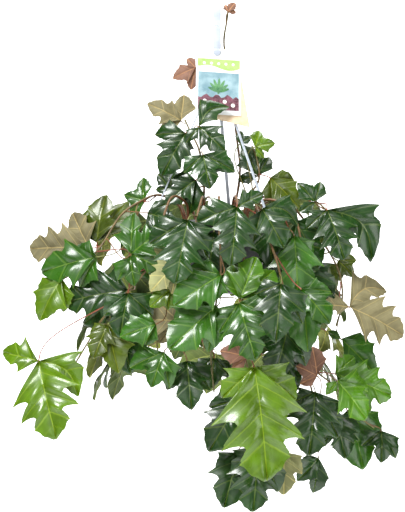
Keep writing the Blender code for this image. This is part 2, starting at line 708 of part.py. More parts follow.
    def solid(self, rings):
        """The whole leaf with its stalk as one closed mesh."""
        vertices, faces = self.shell()
        ring = HUB_BACK
        for corners in rings:
            after = tuple(range(len(vertices), len(vertices) + 4))
            vertices += corners
            for side in range(4):
                follow = (side + 1) % 4
                faces.append((ring[side], ring[follow], after[follow], after[side]))
            ring = after
        faces.append(ring)
        return vertices, faces


class Obstacles:
    """What a new leaf has to stay clear of."""

    def __init__(self):
        self.known = []

    def add(self, vertices, faces, owner):
        self.known.append((*limits(vertices), BVHTree.FromPolygons(vertices, faces), owner))

    def blocked(self, vertices, faces, skip=()):
        low, high = limits(vertices)
        tree = None
        for other_low, other_high, other, owner in self.known:
            if owner in skip:
                continue
            if any(low[i] > other_high[i] or high[i] < other_low[i] for i in range(3)):
                continue
            tree = tree or BVHTree.FromPolygons(vertices, faces)
            if tree.overlap(other):
                return True
        return False


def limits(vertices):
    return ([min(v[i] for v in vertices) for i in range(3)], [max(v[i] for v in vertices) for i in range(3)])


def settle(choices, vine_name, route, obstacles):
    """Places the first leaf of the choices that clears everything, on the nearest clear way to its stem."""
    for leaf in choices:
        if obstacles.blocked(*leaf.shell(SPARE)):
            continue
        own = leaf.shell()
        own_tree = BVHTree.FromPolygons(*own)
        feet = sorted(feet_along(route), key=lambda point: (point - leaf.hub).length)
        for foot in feet[:FEET]:
            if (foot - leaf.hub).length < STALK_LEAST:
                continue
            for bow in BOWS:
                rings = leaf.stalk_rings(foot, bow)
                if not leaf.is_sound(rings):
                    continue
                tube = tube_faces(leaf_to_rings(leaf, rings))
                if BVHTree.FromPolygons(*tube).overlap(own_tree):
                    continue
                if obstacles.blocked(*tube, skip=(vine_name,)):
                    continue
                obstacles.add(*own, "blades")
                obstacles.add(*tube, "stalks")
                return leaf.solid(rings)
    return None


def feet_along(route):
    """Places on a stem above its root where a stalk can join it."""
    feet = []
    for low, high in zip(route[2:], route[3:]):
        feet += [low.lerp(high, share) for share in FOOT_SHARES]
    return feet


def leaf_to_rings(leaf, rings):
    """The stalk's rings, begun a little way off the hub."""
    start = leaf.hub - leaf.middle * HUB - leaf.normal * THICK / 2
    hub = [start + (leaf.left * a + leaf.normal * b) * STALK_RADIUS
           for a, b in ((-1, 1), (1, 1), (1, -1), (-1, -1))]
    off = [h.lerp(r, 0.2) for h, r in zip(hub, rings[0])]
    return [off, *rings]


def facing(hub):
    """The way a leaf in the photograph's view faces: to the viewer, up, and out to its own side."""
    return Vector((TURN * hub.x / PLANT_HALF, -1, LEAN))


def photo_leaf(hub_pixel, near, tips, size, seed):
    """A leaf whose hub and tips are seen at pixels of the photograph, in a plane that leans with its place."""
    draw = random.Random(seed)
    hub = spot(*hub_pixel, near)
    outward = facing(hub)
    outward.x += draw.uniform(-FACE_DRAW, FACE_DRAW)
    outward.z += draw.uniform(-TILT_DRAW, TILT_DRAW)
    ends = []
    for index, tip in enumerate(tips):
        flat = spot(tip[0], tip[1], near)
        step = flat - hub
        nearer = -outward.x * step.x - outward.z * step.z
        if index > 0:
            nearer -= SIDE_BACK * step.length
        bend = tip[2] if len(tip) > 2 else 0
        ends.append((spot(tip[0], tip[1], near + nearer), bend))
    return Leaf(hub, outward, ends, size, seed)


def back_leaf(point, outward, reach, swing, turn, seed):
    """A leaf that hangs outward and down from a stem round the back."""
    side = Vector((0, 0, 1)).cross(outward)
    hub = point + outward * BACK_OUT + side * swing + Vector((0, 0, BACK_LIFT))
    down = (Vector((0, 0, -0.86)) + outward * 0.42 + side * turn).normalized()
    normal = (outward + Vector((0, 0, 0.55))).normalized()
    across = normal.cross(down).normalized()
    ends = [(hub + down * reach, 0)]
    for hand in (1, -1):
        way = (down * 0.42 + across * hand * 0.9).normalized()
        ends.append((hub + (way - normal * SIDE_BACK) * reach * 0.78, 0))
    return Leaf(hub, normal, ends, "medium", seed)


def all_routes():
    routes = {}
    for name, (root, points) in VINES.items():
        routes[name] = vine_route(root, [spot(*point) for point in points])
    for name, azimuth in BACK_AZIMUTHS.items():
        draw = random.Random(azimuth)
        root = round_about(azimuth, BACK_ROOT_RADIUS, 0)
        points = [round_about(azimuth + draw.uniform(-5, 5), radius, height)
                  for radius, height in BACK_ROUTE]
        routes[name] = vine_route((root.x, root.y), points)
    return routes


def hard_obstacles():
    """The hanger, cards, pot and soil, as meshes in millimetres."""
    found = Obstacles()
    for made in bpy.context.scene.collection.objects:
        points = [made.matrix_world @ vertex.co / METRES for vertex in made.data.vertices]
        found.add(points, [tuple(face.vertices) for face in made.data.polygons], made.name)
    return found


def back_choices(name, number, route, draw):
    """The places tried in turn for one leaf of a stem round the back."""
    share = number / (BACK_LEAVES - 1) * (len(route) - 4)
    low = min(int(share), len(route) - 5)
    point = route[3 + low].lerp(route[4 + low], share - low)
    azimuth = BACK_AZIMUTHS[name] + draw.uniform(-BACK_FAN, BACK_FAN)
    outward = round_about(azimuth, 1, 0)
    choices = []
    for _ in range(BACK_TRIES):
        reach = draw.uniform(*BACK_LEAF_REACH)
        swing = draw.uniform(-BACK_SWING, BACK_SWING)
        turn = draw.uniform(-BACK_TURN, BACK_TURN)
        choices.append(back_leaf(point, outward, reach, swing, turn, number))
    return choices


def build_plant():
    routes = all_routes()
    bpy.context.view_layer.update()
    obstacles = hard_obstacles()
    tubes = {}
    for name, route in routes.items():
        tubes[name] = tube_faces(rings_along(route, VINE_RADIUS, VINE_SIDES, VINE_TAPER))
        obstacles.add(*tubes[name], name)
    leaves = {name: [] for name in routes}
    for seed, (vine, hub, near, tips, size) in enumerate(LEAVES):
        choices = (photo_leaf(hub, near + push, tips, size, seed) for push in PUSHES)
        leaves[vine].append(settle(choices, vine, routes[vine], obstacles))
    draw = random.Random(BACK_SEED)
    for name in BACK_AZIMUTHS:
        for number in range(BACK_LEAVES):
            choices = back_choices(name, number, routes[name], draw)
            leaves[name].append(settle(choices, name, routes[name], obstacles))
    for name in routes:
        vine = new_object(name, *tubes[name], "leaf")
        placed = [solid for solid in leaves[name] if solid]
        print(name, len(placed), "of", len(leaves[name]), "leaves")
        apply_union(vine, [new_object("leaf", *solid, "leaf") for solid in placed], "MANIFOLD")
        drop_scraps(vine.data)


for old in list(bpy.data.objects):
    bpy.data.objects.remove(old)
build_hanger()
build_cards()
build_pot()
route_roots = [route[0].xy for route in all_routes().values()]
build_soil(route_roots)
build_plant()
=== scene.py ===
import json
import math
import random

import bpy
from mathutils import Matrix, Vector, noise
from mathutils.bvhtree import BVHTree

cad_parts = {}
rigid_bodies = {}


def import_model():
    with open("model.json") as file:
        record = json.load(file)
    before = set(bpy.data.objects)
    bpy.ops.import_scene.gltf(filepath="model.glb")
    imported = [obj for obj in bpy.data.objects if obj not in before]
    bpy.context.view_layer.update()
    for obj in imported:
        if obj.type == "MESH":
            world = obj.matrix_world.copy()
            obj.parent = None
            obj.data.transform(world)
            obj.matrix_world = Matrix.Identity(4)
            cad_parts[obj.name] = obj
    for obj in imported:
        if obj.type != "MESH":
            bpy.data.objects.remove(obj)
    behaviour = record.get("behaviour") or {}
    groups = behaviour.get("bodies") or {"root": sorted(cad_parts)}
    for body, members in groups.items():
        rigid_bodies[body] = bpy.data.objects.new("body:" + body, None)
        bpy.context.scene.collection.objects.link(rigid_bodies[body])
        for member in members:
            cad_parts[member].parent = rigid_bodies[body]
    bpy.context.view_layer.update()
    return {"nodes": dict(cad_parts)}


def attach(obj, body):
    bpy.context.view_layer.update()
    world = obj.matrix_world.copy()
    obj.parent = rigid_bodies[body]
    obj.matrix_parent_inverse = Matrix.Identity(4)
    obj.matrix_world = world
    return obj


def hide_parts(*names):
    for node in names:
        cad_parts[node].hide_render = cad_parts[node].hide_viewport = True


# The looks of a grape ivy in a round hanging pot. Shapes are in millimetres, in the solids' own frame.

METRES = 0.001

# The photograph's view, 405 by 512 pixels, which places stems and leaves
PIXEL = 1.2
AXIS_PIXEL = 217
EYE_PIXEL = 257
EYE_HEIGHT = -305
EYE_DISTANCE = 1800

# Hook and peg
STRIP_WIDTH = 9.6
STRIP_THICK = 2.5
HOOK_RADIUS = 12
HOOK_TIP_DROP = 18
JOG_TOP = 18
JOG_BOTTOM = 32
BOSS_TOP = -82
BOSS_BOTTOM = -88
BOSS_RADIUS = 9
PEG_HEIGHT = -60
PEG_RADIUS = 2.6
PEG_LENGTH = 7.4
PEG_HEAD_RADIUS = 4.4

# Pot, from its outer lip to its foot
RIM_RADIUS = 76
RIM_HEIGHT = -262
LIP = 2.5
LIP_DROP = 6
BASE_RADIUS = 54
BASE_HEIGHT = -348
WALL = 2
SOIL_TOP = -271
GAP = 0.3

# Straps from the boss to the pot's lip
STRAP_AZIMUTHS = {"strap_right": -42, "strap_left": 198, "strap_back": 78}
STRAP_WIDTH = 4
STRAP_THICK = 1.2
STRAP_TOP_RADIUS = 5

# Cards that hang on the peg and lean forward over the straps
CARD_THICK = 0.6
CARD_BACK = -5.6
CARD_GAP = 0.4
CARD_LEAN = 0.23
HOLE_RADIUS = 3.4
FRONT_CARD = ((-24.5, -54), (29, -58.5), (28.5, -138), (-25.5, -135))
BACK_CARD = ((-21, -55), (23, -57), (39, -152), (-12, -139))

# Stems and leaf stalks
VINE_RADIUS = 1.6
VINE_SIDES = 5
VINE_TAPER = 0.3
ROOT_BOTTOM = -292
ROOT_TOP = -258
STALK_RADIUS = 0.85
STALK_STEPS = 2
STALK_LEAST = 9
LEAVE_SHARE = 0.3
LEAVE_BACK = 0.25
GENTLE = 0.05
BOWS = (0, 14, -14, 28, -28)
FEET = 9
FOOT_SHARES = (0.25, 0.75)
HUB = 1.4
THICK = 0.8
SPARE = 0.7

# A blade's rows from base to tip, as shares of its length: where a side vein starts, and how far it reaches
SWEEP = 0.7
ROWS = {
    3: ((0.15, 0.43), (0.33, 0.28), (0.42, 0.37), (0.58, 0.21), (0.66, 0.22)),
    2: ((0.17, 0.44), (0.38, 0.28), (0.50, 0.28)),
    1: ((0.21, 0.44), (0.53, 0.25)),
    0: ((0.25, 0.38), (0.56, 0.27)),
}
SIZES = {"large": (3, 2), "medium": (2, 1), "small": (1, 0), "plain": (0, 0)}
INNER_SHARE = 0.8
RIGHT_AHEAD = 0.02
UNEVEN = 0.08
ARCH = 0.07
FOLD = 0.2
CURL = 0.6

# Neighbouring blades of a leaf are narrowed in steps until they are clear of each other
NARROWER = 0.95
TILT_STEP = 0.05
NARROWINGS = 18
DRAWN_IN = 0.01
DRAWN_TO = 0.2
SIDE_BACK = 0.25

# A hub's vertices, at three heights: top front pair, middle four, bottom four. The middle blade stands on
# the upper step and the side blades on the lower one. Each row of bases gives top left, top right, bottom
# left and bottom right
HUB_FACES = ((5, 1, 0, 2), (6, 7, 8, 9), (2, 0, 3), (5, 4, 1), (3, 4, 8, 7))
BASES = ((2, 3, 6, 7), (0, 1, 3, 4), (4, 5, 8, 9))
HUB_BACK = (5, 2, 6, 9)

# How a leaf faces, and how far it may be pushed towards the viewer or away to find room
LEAN = 0.28
TURN = 0.45
PLANT_HALF = 240
FACE_DRAW = 0.2
TILT_DRAW = 0.12
PUSHES = (0, 4, -4, 8, -8, 12, -12, 16, -16, 20, -20, 24, -24, 28, -28, 33, -33, 38, -38, 44, -44, 50, -50)

# Stems: where each stands in the soil, then its way as pixel x, pixel y and nearness in millimetres
VINES = {
    "climber": ((14, 6), ((236, 200, -6), (240, 170, -8), (237, 140, -12), (232, 100, -16), (226, 60, -16),
                          (224, 40, -16), (227, 20, -15), (228, 12, -15))),
    "upper_left": ((-18, -8), ((203, 205, 18), (204, 180, 26), (199, 150, 16), (191, 133, 2),
                               (185, 120, -16))),
    "upper_right": ((22, -14), ((238, 208, 18), (250, 194, 14), (259, 179, 10), (257, 160, 4),
                                (252, 146, 0))),
    "left_high": ((-40, 6), ((178, 205, -3), (160, 195, 5), (143, 200, 24), (121, 215, 44), (101, 246, 56),
                             (80, 268, 56), (60, 281, 50))),
    "left_low": ((-34, -36), ((186, 203, 44), (172, 197, 66), (162, 222, 88), (151, 262, 98),
                              (129, 290, 92), (104, 317, 84), (87, 344, 70), (67, 377, 58))),
    "front_left": ((-14, -50), ((204, 202, 54), (202, 198, 80), (196, 222, 104), (190, 262, 112),
                                (184, 300, 106), (176, 334, 100), (170, 352, 96))),
    "front": ((3, -54), ((219, 202, 58), (219, 198, 84), (219, 225, 112), (221, 266, 124), (218, 290, 124),
                         (214, 320, 116), (211, 356, 108), (214, 392, 98))),
    "front_right": ((18, -46), ((233, 202, 50), (236, 197, 78), (240, 222, 106), (244, 262, 112),
                                (242, 310, 112), (243, 345, 110), (250, 378, 106), (258, 412, 98),
                                (266, 445, 86))),
    "right_front": ((32, -36), ((246, 202, 42), (253, 199, 72), (262, 222, 96), (277, 262, 108),
                                (288, 310, 102), (298, 350, 92), (310, 384, 80), (318, 420, 66),
                                (318, 452, 58))),
    "right_top": ((44, -8), ((259, 203, 10), (277, 195, 16), (296, 195, 20), (315, 201, 22),
                             (327, 212, 24), (334, 232, 22))),
    "right_mid": ((50, 12), ((264, 204, -14), (285, 200, -18), (306, 222, -20), (325, 245, -16),
                             (340, 275, 0), (342, 303, 22), (336, 326, 30))),
    "right_low": ((36, -20), ((250, 205, 24), (274, 200, 34), (295, 218, 46), (303, 258, 56),
                              (305, 300, 56), (306, 340, 54), (314, 368, 56), (334, 386, 54),
                              (354, 412, 46), (374, 428, 32))),
}

# Leaves seen in the photograph: stem, hub pixel, nearness, tips of the middle and side leaflets, size, tone
LEAVES = (
    ("climber", (228, 12), -15, ((235, 3), (225, 5), (236, 12)), "plain", "bronze"),
    ("climber", (196, 68), -16, ((173, 79), (187, 59), (191, 90)), "small", "bronze"),
    ("upper_left", (181, 121), -26, ((147, 104), (184, 95), (160, 128)), "medium", "silver"),
    ("upper_left", (199, 127), 44, ((225, 151), (229, 107, 0.2), (186, 143)), "medium", "dark"),
    ("upper_left", (186, 133), 28, ((162, 177), (155, 135), (181, 160)), "medium", "dark"),
    ("upper_left", (203, 155), 62, ((210, 189), (184, 173), (235, 172)), "medium", "dark"),
    ("upper_right", (255, 147), 16, ((275, 143), (259, 131), (264, 158)), "small", "lime"),
    ("upper_right", (240, 144), 24, ((251, 137), (241, 131), (247, 151)), "plain", "dark"),
    ("upper_right", (258, 176), 34, ((243, 146), (269, 157), (238, 180)), "small", "dark"),
    ("upper_right", (270, 178), 4, ((299, 208), (294, 180), (272, 204)), "small", "olive"),
    ("front_right", (237, 207), 116, ((231, 266), (197, 222), (263, 194)), "large", "dark"),
    ("front_right", (262, 209), 96, ((284, 248), (298, 226, 0.2), (252, 245)), "medium", "dark"),
    ("right_top", (315, 202), 26, ((297, 183), (320, 182), (299, 212)), "small", "dark"),
    ("right_top", (327, 210), 42, ((344, 260), (371, 262, 0.25), (306, 229)), "large", "dark"),
    ("right_mid", (313, 244), -12, ((327, 232), (304, 228), (316, 264)), "small", "olive"),
    ("right_mid", (312, 262), 0, ((318, 303), (336, 291), (300, 284)), "medium", "olive"),
    ("right_mid", (338, 261), -18, ((354, 277), (356, 260), (340, 281)), "small", "olive"),
    ("right_mid", (349, 307), 48, ((403, 336), (386, 291, 0.2), (321, 305)), "large", "silver"),
    ("right_mid", (341, 339), 22, ((376, 376), (372, 350), (328, 332)), "small", "mid"),
    ("right_low", (335, 374), 62, ((391, 396), (354, 357), (371, 411)), "large", "bright"),
    ("right_low", (337, 381), 78, ((366, 420), (326, 395), (368, 392)), "medium", "bright"),
    ("right_front", (315, 392), 92, ((309, 456), (338, 438), (290, 404)), "large", "dark"),
    ("right_front", (318, 458), 70, ((297, 481), (313, 493), (300, 463)), "small", "dark"),
    ("right_low", (333, 415), 50, ((345, 459), (325, 446), (359, 440)), "medium", "dark"),
    ("right_low", (347, 410), 62, ((363, 470), (381, 446), (342, 442)), "medium", "mid"),
    ("right_low", (381, 431), 26, ((381, 463), (361, 446), (396, 458)), "medium", "dark"),
    ("front_right", (254, 367), 150, ((267, 481), (222, 398), (296, 400)), "large", "lime"),
    ("front_right", (247, 357), 140, ((220, 351), (238, 340), (232, 368)), "plain", "bronze"),
    ("front_right", (240, 400), 118, ((209, 452), (209, 407), (240, 440)), "medium", "dark"),
    ("front_right", (238, 452), 96, ((224, 508), (216, 470), (247, 490)), "medium", "dark"),
    ("front_right", (258, 445), 108, ((253, 512), (234, 476), (278, 492)), "large", "dark"),
    ("front_right", (284, 452), 84, ((284, 495), (270, 478), (302, 474)), "medium", "pale"),
    ("front", (239, 303), 148, ((256, 360), (219, 333), (285, 318)), "large", "mid"),
    ("front", (240, 300), 136, ((256, 257), (232, 264), (275, 268)), "medium", "bright"),
    ("front", (221, 275), 140, ((174, 306), (190, 268), (212, 302)), "medium", "mid"),
    ("front", (217, 306), 134, ((169, 350), (174, 318), (208, 352)), "medium", "mid"),
    ("front_left", (178, 321), 130, ((131, 321), (157, 302), (158, 343)), "small", "silver"),
    ("left_low", (156, 324), 122, ((120, 337), (138, 318), (145, 345)), "small", "mid"),
    ("left_low", (170, 290), 120, ((150, 307), (152, 290), (168, 310)), "plain", "lime"),
    ("front_left", (164, 352), 124, ((152, 388), (130, 368), (170, 388)), "medium", "mid"),
    ("front_left", (187, 361), 104, ((192, 410), (167, 390), (211, 390)), "medium", "dark"),
    ("left_high", (131, 254), 106, ((167, 228), (134, 213), (160, 268)), "large", "mid"),
    ("left_high", (130, 256), 94, ((135, 286), (118, 280), (154, 280)), "medium", "mid"),
    ("left_high", (148, 213), 66, ((178, 224), (170, 203), (160, 236)), "small", "dark"),
    ("left_high", (97, 243), 14, ((106, 195), (89, 208), (124, 198)), "medium", "olive"),
    ("left_high", (144, 201), 28, ((124, 195), (143, 178), (130, 212)), "small", "mid"),
    ("upper_left", (178, 190), 56, ((182, 238), (172, 206), (196, 220)), "medium", "lime"),
    ("upper_left", (170, 188), 6, ((158, 174), (174, 170), (156, 190)), "plain", "dark"),
    ("left_high", (89, 248), 22, ((30, 249), (73, 213), (58, 268)), "large", "silver"),
    ("left_high", (97, 257), 74, ((42, 273), (80, 288), (74, 248)), "medium", "mid"),
    ("left_high", (62, 278), 58, ((40, 321), (38, 297), (64, 312)), "small", "lime"),
    ("left_low", (129, 290), 70, ((64, 303), (88, 284), (84, 325)), "large", "dark"),
    ("left_low", (128, 293), 100, ((120, 338), (104, 316), (153, 316)), "medium", "dark"),
    ("left_low", (108, 325), 60, ((94, 359), (90, 336), (119, 373)), "medium", "olive"),
    ("left_low", (122, 330), 92, ((131, 374), (112, 366), (146, 358)), "medium", "dark"),
    ("front_left", (180, 262), 112, ((151, 292), (151, 250), (172, 294)), "medium", "pale"),
    ("left_low", (39, 361), 60, ((57, 439), (3, 353), (79, 396, 0.2)), "large", "lime"),
    ("right_front", (281, 284), 140, ((276, 343), (256, 294), (303, 324)), "medium", "dark"),
    ("right_front", (294, 236), 112, ((297, 299), (280, 258), (312, 262)), "medium", "mid"),
    ("right_front", (301, 289), 112, ((330, 324), (331, 292), (308, 352)), "medium", "mid"),
    ("front_right", (268, 226), 72, ((272, 268), (256, 240), (286, 244)), "small", "dark"),
    ("right_front", (317, 376), 84, ((296, 366), (312, 347), (300, 384)), "small", "bronze"),
    ("right_front", (282, 358), 86, ((296, 392), (272, 380), (304, 372)), "small", "dark"),
    ("front_left", (214, 358), 92, ((212, 388), (196, 372), (232, 378)), "small", "dark"),
    ("front_left", (188, 220), 96, ((176, 284), (150, 244), (208, 258)), "large", "dark"),
    ("front", (214, 232), 98, ((206, 300), (182, 262), (236, 276)), "large", "dark"),
    ("front_right", (250, 240), 96, ((258, 304), (232, 280), (282, 272)), "large", "dark"),
    ("right_front", (282, 246), 96, ((296, 306), (264, 284), (316, 272)), "medium", "dark"),
    ("left_low", (158, 240), 90, ((140, 300), (118, 262), (172, 278)), "large", "dark"),
    ("left_high", (146, 216), 50, ((124, 262), (112, 228), (152, 252)), "medium", "dark"),
    ("right_low", (296, 222), 62, ((318, 270), (290, 262), (330, 236)), "medium", "dark"),
    ("right_low", (303, 262), 72, ((318, 328), (288, 300), (334, 296)), "large", "dark"),
    ("front", (214, 202), 66, ((204, 244), (184, 214), (232, 226)), "medium", "dark"),
    ("upper_left", (196, 180), 40, ((166, 204), (172, 180), (190, 214)), "medium", "dark"),
    ("upper_right", (244, 186), 34, ((262, 224), (240, 222), (280, 206)), "medium", "dark"),
    ("right_front", (288, 326), 84, ((274, 380), (258, 346), (306, 366)), "medium", "dark"),
    ("left_low", (146, 300), 80, ((142, 352), (122, 330), (166, 336)), "medium", "dark"),
)

# Stems round the back, and leaves above the soil, follow a rule with seeded draws
BACK_AZIMUTHS = {"back_1": 22, "back_2": 58, "back_3": 100, "back_4": 134, "back_5": 166}
BACK_ROOT_RADIUS = 38
BACK_ROUTE = ((52, -236), (84, -232), (104, -264), (112, -318), (110, -372), (100, -424))
BACK_LEAVES = 7
BACK_LEAF_REACH = (50, 74)
BACK_TRIES = 24
BACK_SEED = 41
BACK_FAN = 18
BACK_SWING = 26
BACK_TURN = 0.5
BACK_OUT = 30
BACK_LIFT = -6


def spot(pixel_x, pixel_y, near):
    """The point seen at a pixel of the photograph, near millimetres in front of the pot's axis."""
    scale = PIXEL * (1 - near / EYE_DISTANCE)
    return Vector(((pixel_x - AXIS_PIXEL) * scale, -near, EYE_HEIGHT + (EYE_PIXEL - pixel_y) * scale))


def round_about(azimuth, radius, height):
    angle = math.radians(azimuth)
    return Vector((radius * math.cos(angle), radius * math.sin(angle), height))


def tube_faces(rings):
    """Vertices and faces of a closed tube through rings with the same number of corners."""
    vertices = [corner for ring in rings for corner in ring]
    count = len(rings[0])
    faces = [tuple(range(count - 1, -1, -1))]
    for ring in range(len(rings) - 1):
        low = ring * count
        high = low + count
        for side in range(count):
            after = (side + 1) % count
            faces.append((low + side, low + after, high + after, high + side))
    faces.append(tuple(range(len(vertices) - count, len(vertices))))
    return vertices, faces


def vine_route(root, points):
    start = [Vector((*root, ROOT_BOTTOM)), Vector((*root, ROOT_TOP))]
    return start + points


def rings_along(path, radii, sides):
    """Rings of a tube along a path, turned as little as possible from one to the next."""
    rings = []
    side = None
    angles = [2 * math.pi * corner / sides for corner in range(sides)]
    for index, point in enumerate(path):
        heading = (path[min(index + 1, len(path) - 1)] - path[max(index - 1, 0)]).normalized()
        if side is None:
            side = heading.orthogonal().normalized()
        side = (side - heading * side.dot(heading)).normalized()
        up = heading.cross(side)
        rings.append([point + (side * math.cos(a) + up * math.sin(a)) * radii[index] for a in angles])
    return rings


def on_curve(guides, t):
    """The point at share t of a cubic curve that four points guide."""
    start, leave, arrive, foot = guides
    return (start * (1 - t) ** 3 + leave * 3 * t * (1 - t) ** 2
            + arrive * 3 * t ** 2 * (1 - t) + foot * t ** 3)


# Leaves
class Blade:
    """One leaflet as a curved surface, from its base towards its tip."""

    def __init__(self, base, tip, normal, bend):
        along = tip - base
        self.base = base
        self.length = along.length
        self.along = along.normalized()
        self.across = normal.cross(self.along).normalized()
        self.upward = self.along.cross(self.across)
        self.bend = bend

    def tilted(self, normal, share):
        """The same blade with its tip further back by a share of its length."""
        tip = self.base + (self.along - normal * share) * self.length
        return Blade(self.base, tip, normal, self.bend)

    def point(self, root, reach, side):
        """The point that a side vein from root on the midrib has after reaching out sideways."""
        forward = root + SWEEP * reach
        swing = self.bend * math.sin(math.pi * min(forward, 1))
        rise = ARCH * math.sin(math.pi * min(forward, 1)) + FOLD * reach - CURL * reach ** 2
        place = self.along * forward + self.across * (side * reach + swing) + self.upward * rise
        return self.base + place * self.length


class Leaf:
    """Three leaflets on a hub, with the stalk that joins them to a stem."""

    def __init__(self, hub, normal, tips, size, seed):
        draw = random.Random(seed)
        self.hub = hub
        middle = (tips[0][0] - hub).normalized()
        self.normal = (normal - middle * normal.dot(middle)).normalized()
        self.middle = middle
        self.left = self.normal.cross(middle)
        lobes, side_lobes = SIZES[size]
        sides = sorted(tips[1:], key=lambda tip: -(tip[0] - hub).dot(self.left))
        self.parts = []
        for index, (tip, bend) in enumerate((sides[0], tips[0], sides[1])):
            level = THICK / 2 if index == 1 else -THICK / 2
            blade = Blade(hub + self.normal * level, tip, self.normal, bend)
            rows = ROWS[lobes if index == 1 else side_lobes]
            wide = [1 + draw.uniform(-UNEVEN, UNEVEN) for _ in range(2)]
            self.parts.append([blade, rows, wide])
        self.parts[0][2][1] *= INNER_SHARE
        self.parts[2][2][0] *= INNER_SHARE
        for side, own_half, other, other_half in ((0, 1, 1, 0), (2, 0, 1, 1), (2, 0, 0, 1)):
            self.keep_apart(side, own_half, other, other_half)

    def keep_apart(self, side, own_half, other, other_half):
        """Narrows the facing halves of a side blade and another, and tilts the first, to clear them."""
        for _ in range(NARROWINGS):
            if not self.blade_tree(side).overlap(self.blade_tree(other)):
                return
            self.parts[side][2][own_half] *= NARROWER
            self.parts[other][2][other_half] *= NARROWER
            self.parts[side][0] = self.parts[side][0].tilted(self.normal, TILT_STEP)

    def blade_tree(self, number):
        """A search tree of one blade, drawn in a little from the hub."""
        aim = self.parts[number][0].point(DRAWN_TO, 0, 1)
        corners = [corner.lerp(aim, DRAWN_IN) for corner in self.hub_vertices(0)]
        vertices, faces = self.blade_mesh(number, THICK / 2, len(corners))
        return BVHTree.FromPolygons(corners + vertices, faces)

    def hub_vertices(self, spare):
        """The hub's corners in the order that HUB_FACES and BASES count them in."""
        ends = ((-1, 1), (1, 1), (1, -1), (-1, -1))
        flat = [self.hub + (self.middle * a + self.left * b) * HUB for a, b in ends]
        lift = self.normal * (THICK + spare)
        return [flat[1] + lift, flat[2] + lift, *flat, *[corner - lift for corner in flat]]

    def shell(self, spare=0.0):
        """Vertices and faces of the hub and blades, which are open where the stalk joins the hub."""
        vertices = self.hub_vertices(spare)
        faces = list(HUB_FACES)
        for number in range(len(self.parts)):
            blade_vertices, blade_faces = self.blade_mesh(number, THICK / 2 + spare, len(vertices))
            vertices += blade_vertices
            faces += blade_faces
        return vertices, faces

    def blade_mesh(self, number, top_lift, first):
        """One blade's own vertices, numbered from first, and its faces, which begin at the hub's corners."""
        blade, rows, wide = self.parts[number]
        top_left, top_right, low_left, low_right = BASES[number]
        top = []
        strips = []
        edge_left = [top_left]
        edge_right = [top_right]
        middle = None
        for row, (root, reach) in enumerate(rows):
            left, right = edge_left[-1], edge_right[-1]
            new_left = first + len(top)
            new_right = new_left + 1
            top.append(blade.point(root, reach * wide[0], 1))
            top.append(blade.point(root + RIGHT_AHEAD, reach * wide[1], -1))
            if row % 2:
                strips += [(left, new_left, middle), (middle, new_right, right)]
            else:
                new_middle = new_right + 1
                top.append(blade.point(root, 0, 1))
                if middle is None:
                    strips.append((left, new_middle, right))
                else:
                    strips += [(left, new_middle, middle), (middle, new_middle, right)]
                strips += [(left, new_left, new_middle), (right, new_middle, new_right)]
                middle = new_middle
            edge_left.append(new_left)
            edge_right.append(new_right)
        tip = first + len(top)
        top.append(blade.point(1, 0, 1))
        strips += [(edge_left[-1], tip, middle), (middle, tip, edge_right[-1])]
        edge_left.append(tip)
        edge_right.append(tip)

        def under(index):
            return {top_left: low_left, top_right: low_right}.get(index, index + len(top))

        faces = [(a, c, b) for a, b, c in strips]
        faces += [(under(a), under(b), under(c)) for a, b, c in strips]
        for edge, flip in ((edge_left, False), (edge_right, True)):
            for a, b in zip(edge, edge[1:]):
                wall = (a, b, under(b), under(a))
                faces.append(wall[::-1] if flip else wall)
        lift = blade.upward * top_lift
        return [point + lift for point in top] + [point - lift for point in top], faces

    def stalk_guides(self, foot, bow):
        """The four points that guide a stalk's curve, from behind the hub to its foot in the stem."""
        start = self.hub - self.middle * HUB - self.normal * THICK / 2
        span = (foot - start).length
        leave = start - (self.middle * LEAVE_SHARE + self.normal * LEAVE_BACK) * span
        arrive = foot + (start - foot) * LEAVE_SHARE + self.left * bow
        return start, leave, arrive, foot

    def stalk_rings(self, foot, bow):
        """Square rings along the stalk."""
        guides = self.stalk_guides(foot, bow)
        start, leave, arrive, _ = guides
        rings = []
        for step in range(1, STALK_STEPS + 1):
            t = step / STALK_STEPS
            centre = on_curve(guides, t)
            slope = ((leave - start) * (1 - t) ** 2 + (arrive - leave) * 2 * t * (1 - t)
                     + (foot - arrive) * t ** 2).normalized()
            side = (self.left - slope * self.left.dot(slope)).normalized()
            up = side.cross(slope)
            rings.append([centre + (side * a + up * b) * STALK_RADIUS
                          for a, b in ((-1, 1), (1, 1), (1, -1), (-1, -1))])
        return rings

    def is_sound(self, rings):
        """Whether the stalk bends and turns gently enough for its sides to keep facing outwards."""
        hub = self.hub_vertices(0)
        places = []
        for ring in [[hub[index] for index in HUB_BACK], *rings]:
            side = (ring[1] - ring[0]).normalized()
            up = (ring[1] - ring[2]).normalized()
            places.append((sum(ring, Vector()) / len(ring), side, up, up.cross(side)))
        for (near, side, up, slope), (far, far_side, far_up, far_slope) in zip(places, places[1:]):
            way = (far - near).normalized()
            if min(side.dot(far_side), up.dot(far_up), way.dot(slope), way.dot(far_slope)) < GENTLE:
                return False
        return True


class Obstacles:
    """What a new leaf has to stay clear of."""

    def __init__(self):
        self.known = []

    def add(self, vertices, faces, owner):
        self.known.append((*limits(vertices), BVHTree.FromPolygons(vertices, faces), owner))

    def blocked(self, vertices, faces, skip=()):
        low, high = limits(vertices)
        tree = None
        for other_low, other_high, other, owner in self.known:
            if owner in skip:
                continue
            if any(low[i] > other_high[i] or high[i] < other_low[i] for i in range(3)):
                continue
            tree = tree or BVHTree.FromPolygons(vertices, faces)
            if tree.overlap(other):
                return True
        return False


def limits(vertices):
    return ([min(v[i] for v in vertices) for i in range(3)], [max(v[i] for v in vertices) for i in range(3)])


